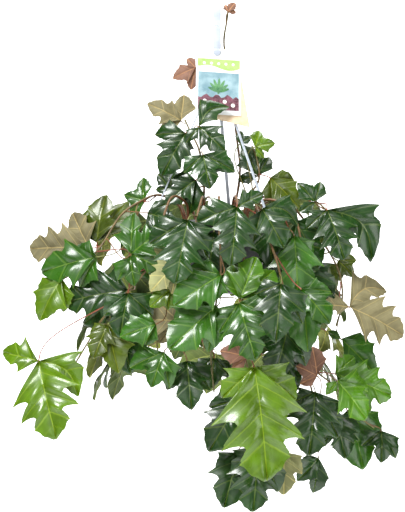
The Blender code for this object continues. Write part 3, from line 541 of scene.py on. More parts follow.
def settle(choices, vine_name, route, obstacles):
    """Places the first leaf of the choices that clears everything, on the nearest clear way to its stem."""
    for leaf in choices:
        if obstacles.blocked(*leaf.shell(SPARE)):
            continue
        own = leaf.shell()
        own_tree = BVHTree.FromPolygons(*own)
        feet = sorted(feet_along(route), key=lambda point: (point - leaf.hub).length)
        for foot in feet[:FEET]:
            if (foot - leaf.hub).length < STALK_LEAST:
                continue
            for bow in BOWS:
                rings = leaf.stalk_rings(foot, bow)
                if not leaf.is_sound(rings):
                    continue
                tube = tube_faces(leaf_to_rings(leaf, rings))
                if BVHTree.FromPolygons(*tube).overlap(own_tree):
                    continue
                if obstacles.blocked(*tube, skip=(vine_name,)):
                    continue
                obstacles.add(*own, "blades")
                obstacles.add(*tube, "stalks")
                return leaf, foot, bow
    return None


def feet_along(route):
    """Places on a stem above its root where a stalk can join it."""
    feet = []
    for low, high in zip(route[2:], route[3:]):
        feet += [low.lerp(high, share) for share in FOOT_SHARES]
    return feet


def leaf_to_rings(leaf, rings):
    """The stalk's rings, begun a little way off the hub."""
    start = leaf.hub - leaf.middle * HUB - leaf.normal * THICK / 2
    hub = [start + (leaf.left * a + leaf.normal * b) * STALK_RADIUS
           for a, b in ((-1, 1), (1, 1), (1, -1), (-1, -1))]
    off = [h.lerp(r, 0.2) for h, r in zip(hub, rings[0])]
    return [off, *rings]


def facing(hub):
    """The way a leaf in the photograph's view faces: to the viewer, up, and out to its own side."""
    return Vector((TURN * hub.x / PLANT_HALF, -1, LEAN))


def photo_leaf(hub_pixel, near, tips, size, seed):
    """A leaf whose hub and tips are seen at pixels of the photograph, in a plane that leans by its place."""
    draw = random.Random(seed)
    hub = spot(*hub_pixel, near)
    outward = facing(hub)
    outward.x += draw.uniform(-FACE_DRAW, FACE_DRAW)
    outward.z += draw.uniform(-TILT_DRAW, TILT_DRAW)
    ends = []
    for index, tip in enumerate(tips):
        flat = spot(tip[0], tip[1], near)
        step = flat - hub
        nearer = -outward.x * step.x - outward.z * step.z
        if index > 0:
            nearer -= SIDE_BACK * step.length
        bend = tip[2] if len(tip) > 2 else 0
        ends.append((spot(tip[0], tip[1], near + nearer), bend))
    return Leaf(hub, outward, ends, size, seed)


def back_leaf(point, outward, reach, swing, turn, seed):
    """A leaf that hangs outward and down from a stem round the back."""
    side = Vector((0, 0, 1)).cross(outward)
    hub = point + outward * BACK_OUT + side * swing + Vector((0, 0, BACK_LIFT))
    down = (Vector((0, 0, -0.86)) + outward * 0.42 + side * turn).normalized()
    normal = (outward + Vector((0, 0, 0.55))).normalized()
    across = normal.cross(down).normalized()
    ends = [(hub + down * reach, 0)]
    for hand in (1, -1):
        way = (down * 0.42 + across * hand * 0.9).normalized()
        ends.append((hub + (way - normal * SIDE_BACK) * reach * 0.78, 0))
    return Leaf(hub, normal, ends, "medium", seed)


def all_routes():
    routes = {}
    for name, (root, points) in VINES.items():
        routes[name] = vine_route(root, [spot(*point) for point in points])
    for name, azimuth in BACK_AZIMUTHS.items():
        draw = random.Random(azimuth)
        root = round_about(azimuth, BACK_ROOT_RADIUS, 0)
        points = [round_about(azimuth + draw.uniform(-5, 5), radius, height)
                  for radius, height in BACK_ROUTE]
        routes[name] = vine_route((root.x, root.y), points)
    return routes


# Fine leaflets, in shares of a leaflet's length where no unit is named: half thickness and the midrib's
# groove in millimetres, points along and across, then how the edge rises to a lobe and falls to a notch
FINE_LIFT = 0.28
RIB_SINK = 0.35
RISE_STEPS = 6
FALL_STEPS = 4
ACROSS = (1.0, 0.86, 0.68, 0.48, 0.28, 0.12, 0.0, -0.12, -0.28, -0.48, -0.68, -0.86, -1.0)
BASE_REACH = 1.0
BASE_SWELL = 0.95
LOBE_SWELL = 0.6
NOTCH_FALL = 1.6
NOTCH_SHARE = 0.8
TIP_TAPER = 0.85
LEAFLET_SHARP = 55

# Small teeth on the edge: size at a lobe's side, size at a lobe's tip, then the place and half width of a
# tooth between two rows and before the leaflet's tip
TOOTH = 0.022
TIP_TOOTH = 0.012
SIDE_TOOTH_AT = (0.6, 0.2)
LAST_TOOTH_AT = (0.45, 0.15)
LAST_TOOTH_SHARE = 0.8

# Panes that bulge between the side veins, and a slow wave of the edge
QUILT = 0.028
QUILT_GAIN = 4
QUILT_FADE = 0.75
WAVE = 0.012
WAVE_PACE = 9
WAVE_SHIFT = 2.4

# Stalks and stems: sides and steps, then radii in millimetres
FINE_STALK_SIDES = 7
FINE_STALK_STEPS = 9
STALK_THIN = 0.62
STALK_FOOT = 0.35
STALK_KNOB = 0.3
STALK_KNOB_PACE = 9
FINE_VINE_SIDES = 8
FINE_VINE_STEPS = 6
VINE_FULL = 0.95
VINE_THINNER = 0.35
KNUCKLE = 0.22
KNUCKLE_EVERY = 7
KNUCKLE_FIRST = 3
FINE_ROUND_SIDES = 96

# sRGB colours of the upper face and the underside of each tone, and whether the underside faces the viewer
TONES = {
    "dark": ((24, 56, 12), (78, 94, 48), False),
    "mid": ((42, 84, 14), (100, 116, 60), False),
    "bright": ((62, 104, 12), (124, 136, 68), False),
    "lime": ((72, 102, 8), (138, 146, 72), False),
    "olive": ((62, 78, 10), (112, 108, 56), False),
    "bronze": ((104, 72, 50), (122, 90, 74), True),
    "silver": ((54, 74, 34), (112, 106, 76), True),
    "pale": ((48, 82, 30), (148, 150, 102), True),
}
STALK_TINTS = ((132, 62, 40), (112, 84, 44), (104, 112, 52))
VINE_TINTS = ((106, 66, 42), (98, 92, 48))
LEAF_VARIES = (0.86, 1.16)
LEAFLET_VARIES = (0.92, 1.08)
BACK_TONES = ("dark", "mid", "dark", "bright", "dark", "mid", "lime")

# The vein map runs from one side vein to the next, and outward in tenths of a metre
VEIN_MAP_SCALE = 0.01

# Material numbers in a leafy stem's mesh
UPPER_LOOK, UNDER_LOOK, STALK_LOOK = 0, 1, 2


def linear(colour):
    """The linear colour of an sRGB one from 0 to 255."""
    shares = [part / 255 for part in colour]
    return tuple(part / 12.92 if part <= 0.04045 else ((part + 0.055) / 1.055) ** 2.4 for part in shares)


def add_object(name, data):
    made = bpy.data.objects.new(name, data)
    bpy.context.scene.collection.objects.link(made)
    return made


class Sheaf:
    """One piece's mesh as it grows: points, faces, their material numbers, vein coordinates and tints."""

    def __init__(self):
        self.points = []
        self.faces = []
        self.looks = []
        self.veins = []
        self.tints = []

    def add(self, points, faces, looks, veins, tints):
        first = len(self.points)
        self.points += points
        self.faces += [tuple(first + index for index in face) for face in faces]
        self.looks += looks
        self.veins += veins
        self.tints += tints

    def build(self, name, materials):
        mesh = bpy.data.meshes.new(name)
        mesh.from_pydata([point * METRES for point in self.points], [], self.faces)
        for look in materials:
            mesh.materials.append(look)
        mesh.polygons.foreach_set("material_index", self.looks)
        veins = mesh.uv_layers.new(name="veins")
        flat = []
        for loop in mesh.loops:
            flat += self.veins[loop.vertex_index]
        veins.data.foreach_set("uv", flat)
        tint = mesh.attributes.new("tint", "FLOAT_COLOR", "POINT")
        tint.data.foreach_set("color", [part for colour in self.tints for part in (*colour, 1.0)])
        mesh.shade_smooth()
        mesh.set_sharp_from_angle(angle=math.radians(LEAFLET_SHARP))
        return add_object(name, mesh)


def tooth_at(u, place):
    middle, half = place
    return max(0, 1 - abs(u - middle) / half)


def blade_rows(rows, length):
    """(root, reach, tooth, vein number) from a leaflet's base to just short of its tip."""
    deeper = [(root, reach * NOTCH_SHARE if row % 2 and row < len(rows) - 1 else reach)
              for row, (root, reach) in enumerate(rows)]
    stops = [(0.0, BASE_REACH / length), *deeper, (1.0, 0.0)]
    found = []
    for number, ((root_low, low), (root_high, high)) in enumerate(zip(stops, stops[1:])):
        rising = high > low
        is_last = number == len(stops) - 2
        steps = RISE_STEPS + 2 if is_last else RISE_STEPS if rising else FALL_STEPS
        for step in range(steps):
            u = step / steps
            root = root_low + (root_high - root_low) * u
            if rising:
                reach = low + (high - low) * u ** (BASE_SWELL if number == 0 else LOBE_SWELL)
                tooth = TOOTH * tooth_at(u, SIDE_TOOTH_AT)
            elif is_last:
                reach = low * (1 - u) ** TIP_TAPER
                tooth = TOOTH * tooth_at(u, LAST_TOOTH_AT) * LAST_TOOTH_SHARE
            else:
                reach = high + (low - high) * (1 - u) ** NOTCH_FALL
                tooth = 0
            if step == 0 and number > 0 and low > high:
                tooth = TIP_TOOTH
            found.append((root, reach, tooth, (number + u + 1) / 2))
    return found


def sheet_faces(lines, count):
    """Faces of a thin closed sheet with lines of count points on each side and one point at its tip.

    The points of the top come first, then those of the underside in the same order.
    """
    faces = []
    for line in range(lines - 1):
        for column in range(count - 1):
            low = line * count + column
            high = low + count
            faces.append((low, low + 1, high + 1, high))
    last = (lines - 1) * count
    tip = lines * count
    size = tip + 1
    faces += [(last + column, last + column + 1, tip) for column in range(count - 1)]
    looks = [UPPER_LOOK] * len(faces) + [UNDER_LOOK] * len(faces)
    faces += [tuple(index + size for index in reversed(face)) for face in faces]
    edge = [*range(count)]
    edge += [line * count + count - 1 for line in range(1, lines)] + [tip]
    edge += [line * count for line in range(lines - 1, 0, -1)]
    for a, b in zip(edge, edge[1:] + edge[:1]):
        faces.append((b, a, a + size, b + size))
        looks.append(UNDER_LOOK)
    return faces, looks


def fine_blade(blade, rows, wide, top_tint, low_tint, draw):
    """Points, faces, looks, vein coordinates and tints of one leaflet, thin and closed."""
    phase = draw.uniform(0, 6.28)
    top = []
    veins = []
    lines = blade_rows(rows, blade.length)
    for root, reach, tooth, vein in lines:
        quilt = QUILT * math.sin(math.pi * vein) ** 2
        for share in ACROSS:
            side = 1 if share >= 0 else -1
            part = abs(share)
            out = (reach * wide[0 if side > 0 else 1] + tooth) * part
            shift = RIGHT_AHEAD * part if side < 0 else 0
            lift = quilt * QUILT_GAIN * part * (1 - QUILT_FADE * part)
            lift += WAVE * math.sin(WAVE_PACE * root + WAVE_SHIFT * side + phase) * part ** 2
            lift *= blade.length
            if part == 0:
                lift -= RIB_SINK
            top.append(blade.point(root + shift, out, side) + blade.upward * lift)
            veins.append((vein, side * out * blade.length * VEIN_MAP_SCALE))
    top.append(blade.point(1, 0, 1))
    veins.append(((len(rows) + 2) / 2, 0.0))
    lift = blade.upward * FINE_LIFT
    points = [point + lift for point in top] + [point - lift for point in top]
    faces, looks = sheet_faces(len(lines), len(ACROSS))
    tints = [top_tint] * len(top) + [low_tint] * len(top)
    return points, faces, looks, veins * 2, tints


def tube(path, radii, sides, tints):
    """A closed round tube along a path, with a radius and a tint at each point."""
    points, faces = tube_faces(rings_along(path, radii, sides))
    colours = [tint for tint in tints for _ in range(sides)]
    return points, faces, [STALK_LOOK] * len(faces), [(0.5, 0.5)] * len(points), colours


def blend_colour(one, other, share):
    return tuple(a + (b - a) * share for a, b in zip(one, other))


def smooth_route(points, steps):
    """Points on a Catmull-Rom curve through a route's own points."""
    ends = [points[0] * 2 - points[1], *points, points[-1] * 2 - points[-2]]
    found = []
    for index in range(1, len(ends) - 2):
        p0, p1, p2, p3 = ends[index - 1:index + 3]
        for step in range(steps):
            t = step / steps
            found.append(0.5 * (2 * p1 + (p2 - p0) * t + (2 * p0 - 5 * p1 + 4 * p2 - p3) * t ** 2
                                + (3 * p1 - p0 - 3 * p2 + p3) * t ** 3))
    found.append(points[-1].copy())
    return found


def scaled(colour, factor):
    return tuple(part * factor for part in colour)


def dress_leaf(sheaf, leaf, foot, bow, tone, seed):
    """Adds a leaf's three fine leaflets and its round stalk."""
    draw = random.Random(seed)
    upper, under, turned_over = TONES[tone]
    vary = draw.uniform(*LEAF_VARIES)
    for blade, rows, wide in leaf.parts:
        change = draw.uniform(*LEAFLET_VARIES)
        tints = [scaled(scaled(linear(colour), vary), change) for colour in (upper, under)]
        if turned_over:
            tints.reverse()
        points, faces, looks, veins, tints = fine_blade(blade, rows, wide, *tints, draw)
        if turned_over:
            looks = [UNDER_LOOK if look == UPPER_LOOK else UPPER_LOOK for look in looks]
        sheaf.add(points, faces, looks, veins, tints)
    guides = leaf.stalk_guides(foot, bow)
    path = [leaf.hub + leaf.middle * HUB]
    path += [on_curve(guides, step / FINE_STALK_STEPS) for step in range(FINE_STALK_STEPS + 1)]
    near = linear(STALK_TINTS[draw.randrange(len(STALK_TINTS))])
    far = blend_colour(near, linear(VINE_TINTS[0]), 0.5)
    shares = [index / (len(path) - 1) for index in range(len(path))]
    radii = [STALK_THIN + STALK_FOOT * t ** 3 + STALK_KNOB * math.exp(-(t * STALK_KNOB_PACE) ** 2)
             for t in shares]
    tints = [blend_colour(near, far, t) for t in shares]
    sheaf.add(*tube(path, radii, FINE_STALK_SIDES, tints))


def dress_vine(sheaf, route):
    """Adds a stem that thins towards its tip, with a knuckle here and there."""
    path = route[:1] + smooth_route(route[1:], FINE_VINE_STEPS)
    radii = []
    tints = []
    for index in range(len(path)):
        t = index / (len(path) - 1)
        knuckle = KNUCKLE if index % KNUCKLE_EVERY == KNUCKLE_FIRST else 0
        radii.append(VINE_RADIUS * (VINE_FULL - VINE_THINNER * t) + knuckle)
        tints.append(blend_colour(linear(VINE_TINTS[0]), linear(VINE_TINTS[1]), t))
    sheaf.add(*tube(path, radii, FINE_VINE_SIDES, tints))


# Materials. A vein's colour is the leaf's own, raised by a gain and a least value. Widths of veins are where
# a line starts to fade and where it ends, on the vein map
NOISE_MIDDLE = (0.3, 0.7)
VEIN_GAIN = (1.9, 1.6, 1.5, 1.0)
VEIN_LEAST = (0.06, 0.06, 0.012, 1.0)
RIB_WIDTHS = (0.003, 0.009)
SIDE_VEIN_WIDTHS = (0.008, 0.036)
VEINLET_WIDTHS = (0.03, 0.12)
VEINLETS = 4.0
VEIN_WANDER = 0.05

# How strongly each kind of vein shows in colour and in relief: midrib, side vein, veinlet
VEIN_SHOWS = (0.85, 0.45, 0.12)
VEIN_RELIEF = (1.0, 0.7, 0.3)

# A leaf face's relief sign and strength, least and most roughness, coat and gloss
LEAF_FACES = {
    "leaf_upper": (-1.0, 0.5, (0.24, 0.42), 0.3, 0.36),
    "leaf_under": (1.0, 0.7, (0.5, 0.66), 0.0, 0.2),
}


class Nodes:
    """A material's node tree, with short ways to add and join nodes."""

    def __init__(self, name):
        self.material = bpy.data.materials.new(name)
        self.material.use_nodes = True
        self.tree = self.material.node_tree
        self.shader = self.tree.nodes["Principled BSDF"]

    def feed(self, socket, value):
        """Joins a socket to another one, or gives it a plain value."""
        if isinstance(value, bpy.types.NodeSocket):
            self.tree.links.new(value, socket)
        else:
            socket.default_value = value

    def add(self, kind, inputs=(), **settings):
        node = self.tree.nodes.new(kind)
        for key, value in settings.items():
            setattr(node, key, value)
        for key, value in dict(inputs).items():
            self.feed(node.inputs[key], value)
        return node

    def math(self, operation, *values):
        node = self.add("ShaderNodeMath", operation=operation)
        for index, value in enumerate(values):
            self.feed(node.inputs[index], value)
        return node.outputs[0]

    def ramp(self, value, low, high, start=0.0, end=1.0):
        node = self.add("ShaderNodeMapRange", {"Value": value, "From Min": low, "From Max": high,
                                               "To Min": start, "To Max": end})
        node.interpolation_type = "SMOOTHSTEP"
        return node.outputs["Result"]

    def mix(self, share, one, other, blend="MIX"):
        node = self.add("ShaderNodeMix", data_type="RGBA", blend_type=blend)
        for index, value in ((0, share), (6, one), (7, other)):
            self.feed(node.inputs[index], value)
        return node.outputs[2]

    def noise(self, scale, detail=3.0, roughness=0.5):
        place = self.add("ShaderNodeTexCoord").outputs["Object"]
        node = self.add("ShaderNodeTexNoise", {"Vector": place, "Scale": scale, "Detail": detail,
                                               "Roughness": roughness})
        return node.outputs["Fac"]

    def spread(self, value, low, high):
        """The middle of a noise's range, stretched from low to high."""
        return self.ramp(value, *NOISE_MIDDLE, low, high)

    def tint(self):
        return self.add("ShaderNodeAttribute", attribute_name="tint").outputs["Color"]

    def shaded(self, colour, shade):
        grey = self.add("ShaderNodeCombineColor", {"Red": shade, "Green": shade, "Blue": shade}).outputs[0]
        return self.mix(1.0, colour, grey, "MULTIPLY")

    def line(self, value, widths):
        """1 where the value is below the first width, 0 past the second."""
        return self.ramp(value, *widths, 1.0, 0.0)

    def to_whole(self, value):
        """How far a value is from the nearest whole number."""
        past_half = self.math("FRACT", self.math("ADD", value, 0.5))
        return self.math("ABSOLUTE", self.math("SUBTRACT", past_half, 0.5))

    def bump(self, height, strength, distance):
        node = self.add("ShaderNodeBump", {"Height": height, "Strength": strength, "Distance": distance})
        return node.outputs["Normal"]

    def finish(self, sockets=(), **constants):
        for key, value in constants.items():
            self.shader.inputs[key.replace("_", " ")].default_value = value
        for key, value in dict(sockets).items():
            self.tree.links.new(value, self.shader.inputs[key])
        return self.material


def vein_masks(nodes):
    """How much a point lies on the midrib, on a side vein and on a veinlet, each from 0 to 1."""
    vein_map = nodes.add("ShaderNodeUVMap", uv_map="veins").outputs["UV"]
    split = nodes.add("ShaderNodeSeparateXYZ", {"Vector": vein_map})
    rib = nodes.line(nodes.math("ABSOLUTE", split.outputs["Y"]), RIB_WIDTHS)
    wander = nodes.math("MULTIPLY", nodes.math("SUBTRACT", nodes.noise(120, 1.0), 0.5), VEIN_WANDER)
    wavy = nodes.math("ADD", split.outputs["X"], wander)
    side_vein = nodes.line(nodes.to_whole(wavy), SIDE_VEIN_WIDTHS)
    veinlet = nodes.line(nodes.to_whole(nodes.math("MULTIPLY", wavy, VEINLETS)), VEINLET_WIDTHS)
    return rib, side_vein, veinlet


def leaf_material(name):
    sign, strength, roughness, coat, gloss = LEAF_FACES[name]
    nodes = Nodes(name)
    masks = vein_masks(nodes)
    tint = nodes.tint()
    colour = nodes.shaded(tint, nodes.ramp(nodes.noise(34, 3.0, 0.6), 0.3, 0.72, 0.72, 1.28))
    pale = nodes.mix(1.0, nodes.mix(1.0, tint, VEIN_GAIN, "MULTIPLY"), VEIN_LEAST, "ADD")
    for mask, shows in zip(reversed(masks), reversed(VEIN_SHOWS)):
        colour = nodes.mix(nodes.math("MULTIPLY", mask, shows), colour, pale)
    rib, side_vein, veinlet = [nodes.math("MULTIPLY", *pair) for pair in zip(masks, VEIN_RELIEF)]
    lines = nodes.math("MAXIMUM", nodes.math("MAXIMUM", rib, side_vein), veinlet)
    speckle = nodes.math("MULTIPLY", nodes.noise(420, 2.0), 0.3)
    height = nodes.math("ADD", nodes.math("MULTIPLY", lines, sign), speckle)
    sockets = {"Base Color": colour, "Roughness": nodes.spread(nodes.noise(60, 2.0), *roughness),
               "Normal": nodes.bump(height, strength, 0.0006)}
    return nodes.finish(sockets, Coat_Weight=coat, Coat_Roughness=0.14, Specular_IOR_Level=gloss)


def stalk_material():
    nodes = Nodes("stalk")
    colour = nodes.shaded(nodes.tint(), nodes.spread(nodes.noise(160, 3.0), 0.75, 1.25))
    normal = nodes.bump(nodes.noise(700, 2.0), 0.3, 0.0003)
    return nodes.finish({"Base Color": colour, "Normal": normal}, Roughness=0.48)


def mottled(name, low, high, scale, roughness, bump_scale, bump, **constants):
    """A plain material whose colour, gloss and surface vary a little."""
    nodes = Nodes(name)
    colour = nodes.mix(nodes.spread(nodes.noise(scale, 4.0, 0.6), 0.0, 1.0), (*low, 1.0), (*high, 1.0))
    rough = nodes.spread(nodes.noise(scale * 2.3), roughness - 0.06, roughness + 0.06)
    normal = nodes.bump(nodes.noise(bump_scale, 3.0), bump, 0.0005)
    sockets = {"Base Color": colour, "Roughness": rough, "Normal": normal}
    return nodes.finish(sockets, **constants)


# Hanger, pot, soil and cards
EDGE_SHARP = 40
STRIP_SIDES = 16
STRIP_ROUND = 0.42
BOSS_SIDES = 40
PEG_SIDES = 32
STRAP_STEPS = 12
STRAP_SHOULDER = 8
STRAP_ABOVE_RIM = 4
FOOT_BEND = 5
RIB_ROWS = (4, 5)
RIB_HEIGHT = 0.35
SOIL_ROWS = 34
CRUMB_LIFT = 1.2
CRUMBS = ((0.32, 1.5), (0.9, 1.1))
CRUMB_EDGE = 3


def new_piece(name, points, faces, material, angle=EDGE_SHARP):
    mesh = bpy.data.meshes.new(name)
    mesh.from_pydata([Vector(point) * METRES for point in points], [], faces)
    mesh.materials.append(material)
    mesh.shade_smooth()
    mesh.set_sharp_from_angle(angle=math.radians(angle))
    return add_object(name, mesh)


def join(made, others):
    """Adds the other objects' meshes to this one as they stand."""
    both = [made, *others]
    with bpy.context.temp_override(active_object=made, object=made, selected_objects=both,
                                   selected_editable_objects=both):
        bpy.ops.object.join()


def rounded_strip(name, path, width, thick, azimuth, material):
    """A flat strip with rounded edges along a path of (distance, height) points."""
    across = round_about(azimuth + 90, 1, 0)
    section = []
    corner = thick * STRIP_ROUND
    for turn in range(STRIP_SIDES):
        angle = 2 * math.pi * (turn + 0.5) / STRIP_SIDES
        x = math.copysign(width / 2 - corner, math.cos(angle)) + corner * math.cos(angle)
        y = math.copysign(thick / 2 - corner, math.sin(angle)) + corner * math.sin(angle)
        section.append((x, y))
    rings = []
    centre = [Vector(point) for point in path]
    for index, point in enumerate(centre):
        heading = (centre[min(index + 1, len(centre) - 1)] - centre[max(index - 1, 0)]).normalized()
        sideways = Vector((-heading.y, heading.x))
        rings.append([round_about(azimuth, *(point + sideways * y)) + across * x for x, y in section])
    return new_piece(name, *tube_faces(rings), material)


def turned(name, profile, sides, material, forward_at=None):
    """A solid of revolution from (radius, height) points, which stands, or faces forward at a height."""
    points = []
    faces = []
    rings = []
    for radius, height in profile:
        count = 1 if radius == 0 else sides
        rings.append([len(points) + index % count for index in range(sides)])
        for index in range(count):
            place = round_about(360 * index / sides, radius, height)
            if forward_at is not None:
                place = Vector((place.x, -place.z, place.y + forward_at))
            points.append(place)
    for upper, lower in zip(rings, rings[1:]):
        for side in range(sides):
            after = (side + 1) % sides
            corners = (upper[side], lower[side], lower[after], upper[after])
            faces.append(tuple(dict.fromkeys(corners)))
    return new_piece(name, points, faces, material)


def quarter_turn(steps, first=0):
    """(sine, cosine) of angles from none to a right angle."""
    angles = [math.pi / 2 * step / steps for step in range(first, steps + 1)]
    return [(math.sin(angle), math.cos(angle)) for angle in angles]


def hook_route():
    middle = HOOK_RADIUS + STRIP_THICK / 2
    points = [(-middle, -HOOK_TIP_DROP)]
    for step in range(31):
        angle = math.radians(180 - 6 * step)
        points.append((middle * math.cos(angle), -HOOK_RADIUS + middle * math.sin(angle)))
    for step in range(13):
        t = step / 12
        ease = t * t * (3 - 2 * t)
        points.append((middle * (1 - ease), -JOG_TOP + (JOG_TOP - JOG_BOTTOM) * t))
    return points + [(0, -45), (0, PEG_HEIGHT), (0, BOSS_TOP - 2)]


def build_hook(plastic):
    """The hook with its boss and its peg, whose edges are rounded off."""
    hook = rounded_strip("hook_fine", hook_route(), STRIP_WIDTH, STRIP_THICK, 90, plastic)
    boss_profile = ((0, BOSS_TOP), (BOSS_RADIUS - 1.2, BOSS_TOP), (BOSS_RADIUS - 0.3, BOSS_TOP - 0.5),
                    (BOSS_RADIUS, BOSS_TOP - 1.4), (BOSS_RADIUS, BOSS_BOTTOM + 1),
                    (BOSS_RADIUS - 0.8, BOSS_BOTTOM), (0, BOSS_BOTTOM))
    boss = turned("boss", boss_profile, BOSS_SIDES, plastic)
    front = STRIP_THICK / 2 + PEG_LENGTH
    peg_profile = ((0, front + 0.8), (PEG_HEAD_RADIUS - 1.2, front + 0.7),
                   (PEG_HEAD_RADIUS - 0.2, front + 0.3), (PEG_HEAD_RADIUS, front - 0.2),
                   (PEG_HEAD_RADIUS - 0.3, front - 0.4), (PEG_RADIUS, front - 0.4),
                   (PEG_RADIUS, 0.4), (0, 0.4))
    join(hook, [boss, turned("peg", peg_profile, PEG_SIDES, plastic, PEG_HEIGHT)])
    return hook


def build_strap(name, azimuth, plastic):
    """A strap from the boss, down and out past the pot's rim and in under its lip."""
    lip_radius = RIM_RADIUS + LIP
    under_lip = RIM_HEIGHT - LIP_DROP - GAP - STRAP_THICK / 2
    top = Vector((STRAP_TOP_RADIUS + 2, BOSS_BOTTOM - STRAP_SHOULDER))
    low = Vector((lip_radius + GAP + STRAP_THICK / 2, RIM_HEIGHT + STRAP_ABOVE_RIM))
    path = [(STRAP_TOP_RADIUS, BOSS_BOTTOM - GAP)]
    path += [top.lerp(low, step / STRAP_STEPS) for step in range(STRAP_STEPS + 1)]
    path += [(low.x, RIM_HEIGHT), (low.x, under_lip + 1.2), (low.x - 0.5, under_lip + 0.2),
             (low.x - 1.4, under_lip), (lip_radius - 1.2, under_lip)]
    return rounded_strip(name + "_fine", path, STRAP_WIDTH, STRAP_THICK, azimuth, plastic)


def wall_radius(height):
    share = (RIM_HEIGHT - height) / (RIM_HEIGHT - BASE_HEIGHT)
    return RIM_RADIUS - (RIM_RADIUS - BASE_RADIUS) * share


def build_pot(material):
    """The pot with a rolled lip, two faint ribs round its wall and a rounded foot."""
    lip_bottom = RIM_HEIGHT - LIP_DROP
    floor = BASE_HEIGHT + WALL
    inner = wall_radius(floor + FOOT_BEND) - WALL - 4
    profile = [(0, floor), (wall_radius(floor) - WALL - 4, floor)]
    profile += [(inner + 4 * sine, floor + FOOT_BEND * (1 - cosine)) for sine, cosine in quarter_turn(4)]
    outer = RIM_RADIUS + LIP
    profile += [(RIM_RADIUS - WALL, RIM_HEIGHT - 0.6), (RIM_RADIUS - WALL + 0.5, RIM_HEIGHT),
                (outer - 1.2, RIM_HEIGHT), (outer - 0.4, RIM_HEIGHT - 0.3), (outer, RIM_HEIGHT - 1.1),
                (outer, lip_bottom + 0.4), (outer - 0.4, lip_bottom),
                (wall_radius(lip_bottom) + 0.3, lip_bottom)]
    foot_top = BASE_HEIGHT + FOOT_BEND
    for step in range(1, 16):
        height = lip_bottom + (foot_top - lip_bottom) * step / 16
        profile.append((wall_radius(height) + (RIB_HEIGHT if step in RIB_ROWS else 0), height))
    foot = wall_radius(foot_top) - FOOT_BEND
    profile += [(foot + FOOT_BEND * cosine, foot_top - FOOT_BEND * sine) for sine, cosine in quarter_turn(5)]
    profile.append((0, BASE_HEIGHT))
    return turned("pot_fine", profile, FINE_ROUND_SIDES, material)


def build_soil(material):
    """The soil's crumbly top, on its plain body."""
    floor = BASE_HEIGHT + WALL + GAP
    inside = WALL + GAP
    outer = wall_radius(SOIL_TOP) - inside
    profile = [(outer * step / SOIL_ROWS, SOIL_TOP) for step in range(SOIL_ROWS + 1)]
    profile += [(wall_radius(floor + 5.5) - inside, floor + 5.5), (wall_radius(floor) - inside - 4.5, floor),
                (0, floor)]
    soil = turned("soil_fine", profile, FINE_ROUND_SIDES, material)
    for vertex in soil.data.vertices:
        place = vertex.co / METRES
        if place.z < SOIL_TOP - 0.5:
            continue
        rough = sum(noise.noise(place * pace) * height for pace, height in CRUMBS)
        edge = min(1, (outer - place.xy.length) / CRUMB_EDGE)
        vertex.co.z += (CRUMB_LIFT + rough) * edge * METRES
    return soil


# Cards: cells of the grid, edges, and the front card's fronds (turn, length) and blooms (across, down)
CARD_COLUMNS = 24
CARD_ROWS = 36
CARD_SHARP = 30
CARD_ASPECT = 0.65
HOLE_PULL = 1.4
PRINT_SHARP = 20
PRINT_SINK = 0.1
FRONDS = ((-1.15, 0.12), (-0.75, 0.15), (-0.35, 0.18), (0.05, 0.19), (0.45, 0.18), (0.85, 0.15), (1.2, 0.12))
BLOOMS = ((0.2, 0.8), (0.42, 0.83), (0.64, 0.8), (0.82, 0.85), (0.3, 0.88))


def card_point(x, z, back):
    return Vector((x, back - CARD_LEAN * (PEG_HEIGHT - z), z))


def card_inside(corners, u, v):
    """The (x, z) point at shares u across and v down a card with four corners."""
    (x0, z0), (x1, z1), (x2, z2), (x3, z3) = corners
    x = (x0 * (1 - u) + x1 * u) * (1 - v) + (x3 * (1 - u) + x2 * u) * v
    z = (z0 * (1 - u) + z1 * u) * (1 - v) + (z3 * (1 - u) + z2 * u) * v
    return x, z


def build_card(name, corners, front, material):
    """A thin leaning card in a grid of cells, with a round hole for the peg."""
    points = []
    index = {}
    for layer in range(2):
        for row in range(CARD_ROWS + 1):
            for column in range(CARD_COLUMNS + 1):
                x, z = card_inside(corners, column / CARD_COLUMNS, row / CARD_ROWS)
                away = Vector((x, z - PEG_HEIGHT))
                if away.length < HOLE_RADIUS + HOLE_PULL:
                    away = away.normalized() if away.length > 0.01 else Vector((1, 0))
                    x, z = away.x * HOLE_RADIUS, PEG_HEIGHT + away.y * HOLE_RADIUS
                index[layer, row, column] = len(points)
                points.append(card_point(x, z, front + layer * CARD_THICK))

    def kept(row, column):
        if not (0 <= row < CARD_ROWS and 0 <= column < CARD_COLUMNS):
            return False
        cell = [points[index[0, row + a, column + b]] for a in (0, 1) for b in (0, 1)]
        return any(Vector((p.x, p.z - PEG_HEIGHT)).length >= HOLE_RADIUS + 0.2 for p in cell)

    faces = []
    for row in range(CARD_ROWS):
        for column in range(CARD_COLUMNS):
            if not kept(row, column):
                continue
            cell = [(row, column), (row, column + 1), (row + 1, column + 1), (row + 1, column)]
            ahead, behind = [[index[layer, r, c] for r, c in cell] for layer in range(2)]
            faces += [tuple(reversed(ahead)), tuple(behind)]
            for a, (down, right) in enumerate(((-1, 0), (0, 1), (1, 0), (0, -1))):
                b = (a + 1) % 4
                if not kept(row + down, column + right):
                    faces.append((ahead[a], ahead[b], behind[b], behind[a]))
    used = sorted({corner for face in faces for corner in face})
    renumber = {old: new for new, old in enumerate(used)}
    faces = [tuple(renumber[corner] for corner in face) for face in faces]
    return new_piece(name, [points[old] for old in used], faces, material, CARD_SHARP)


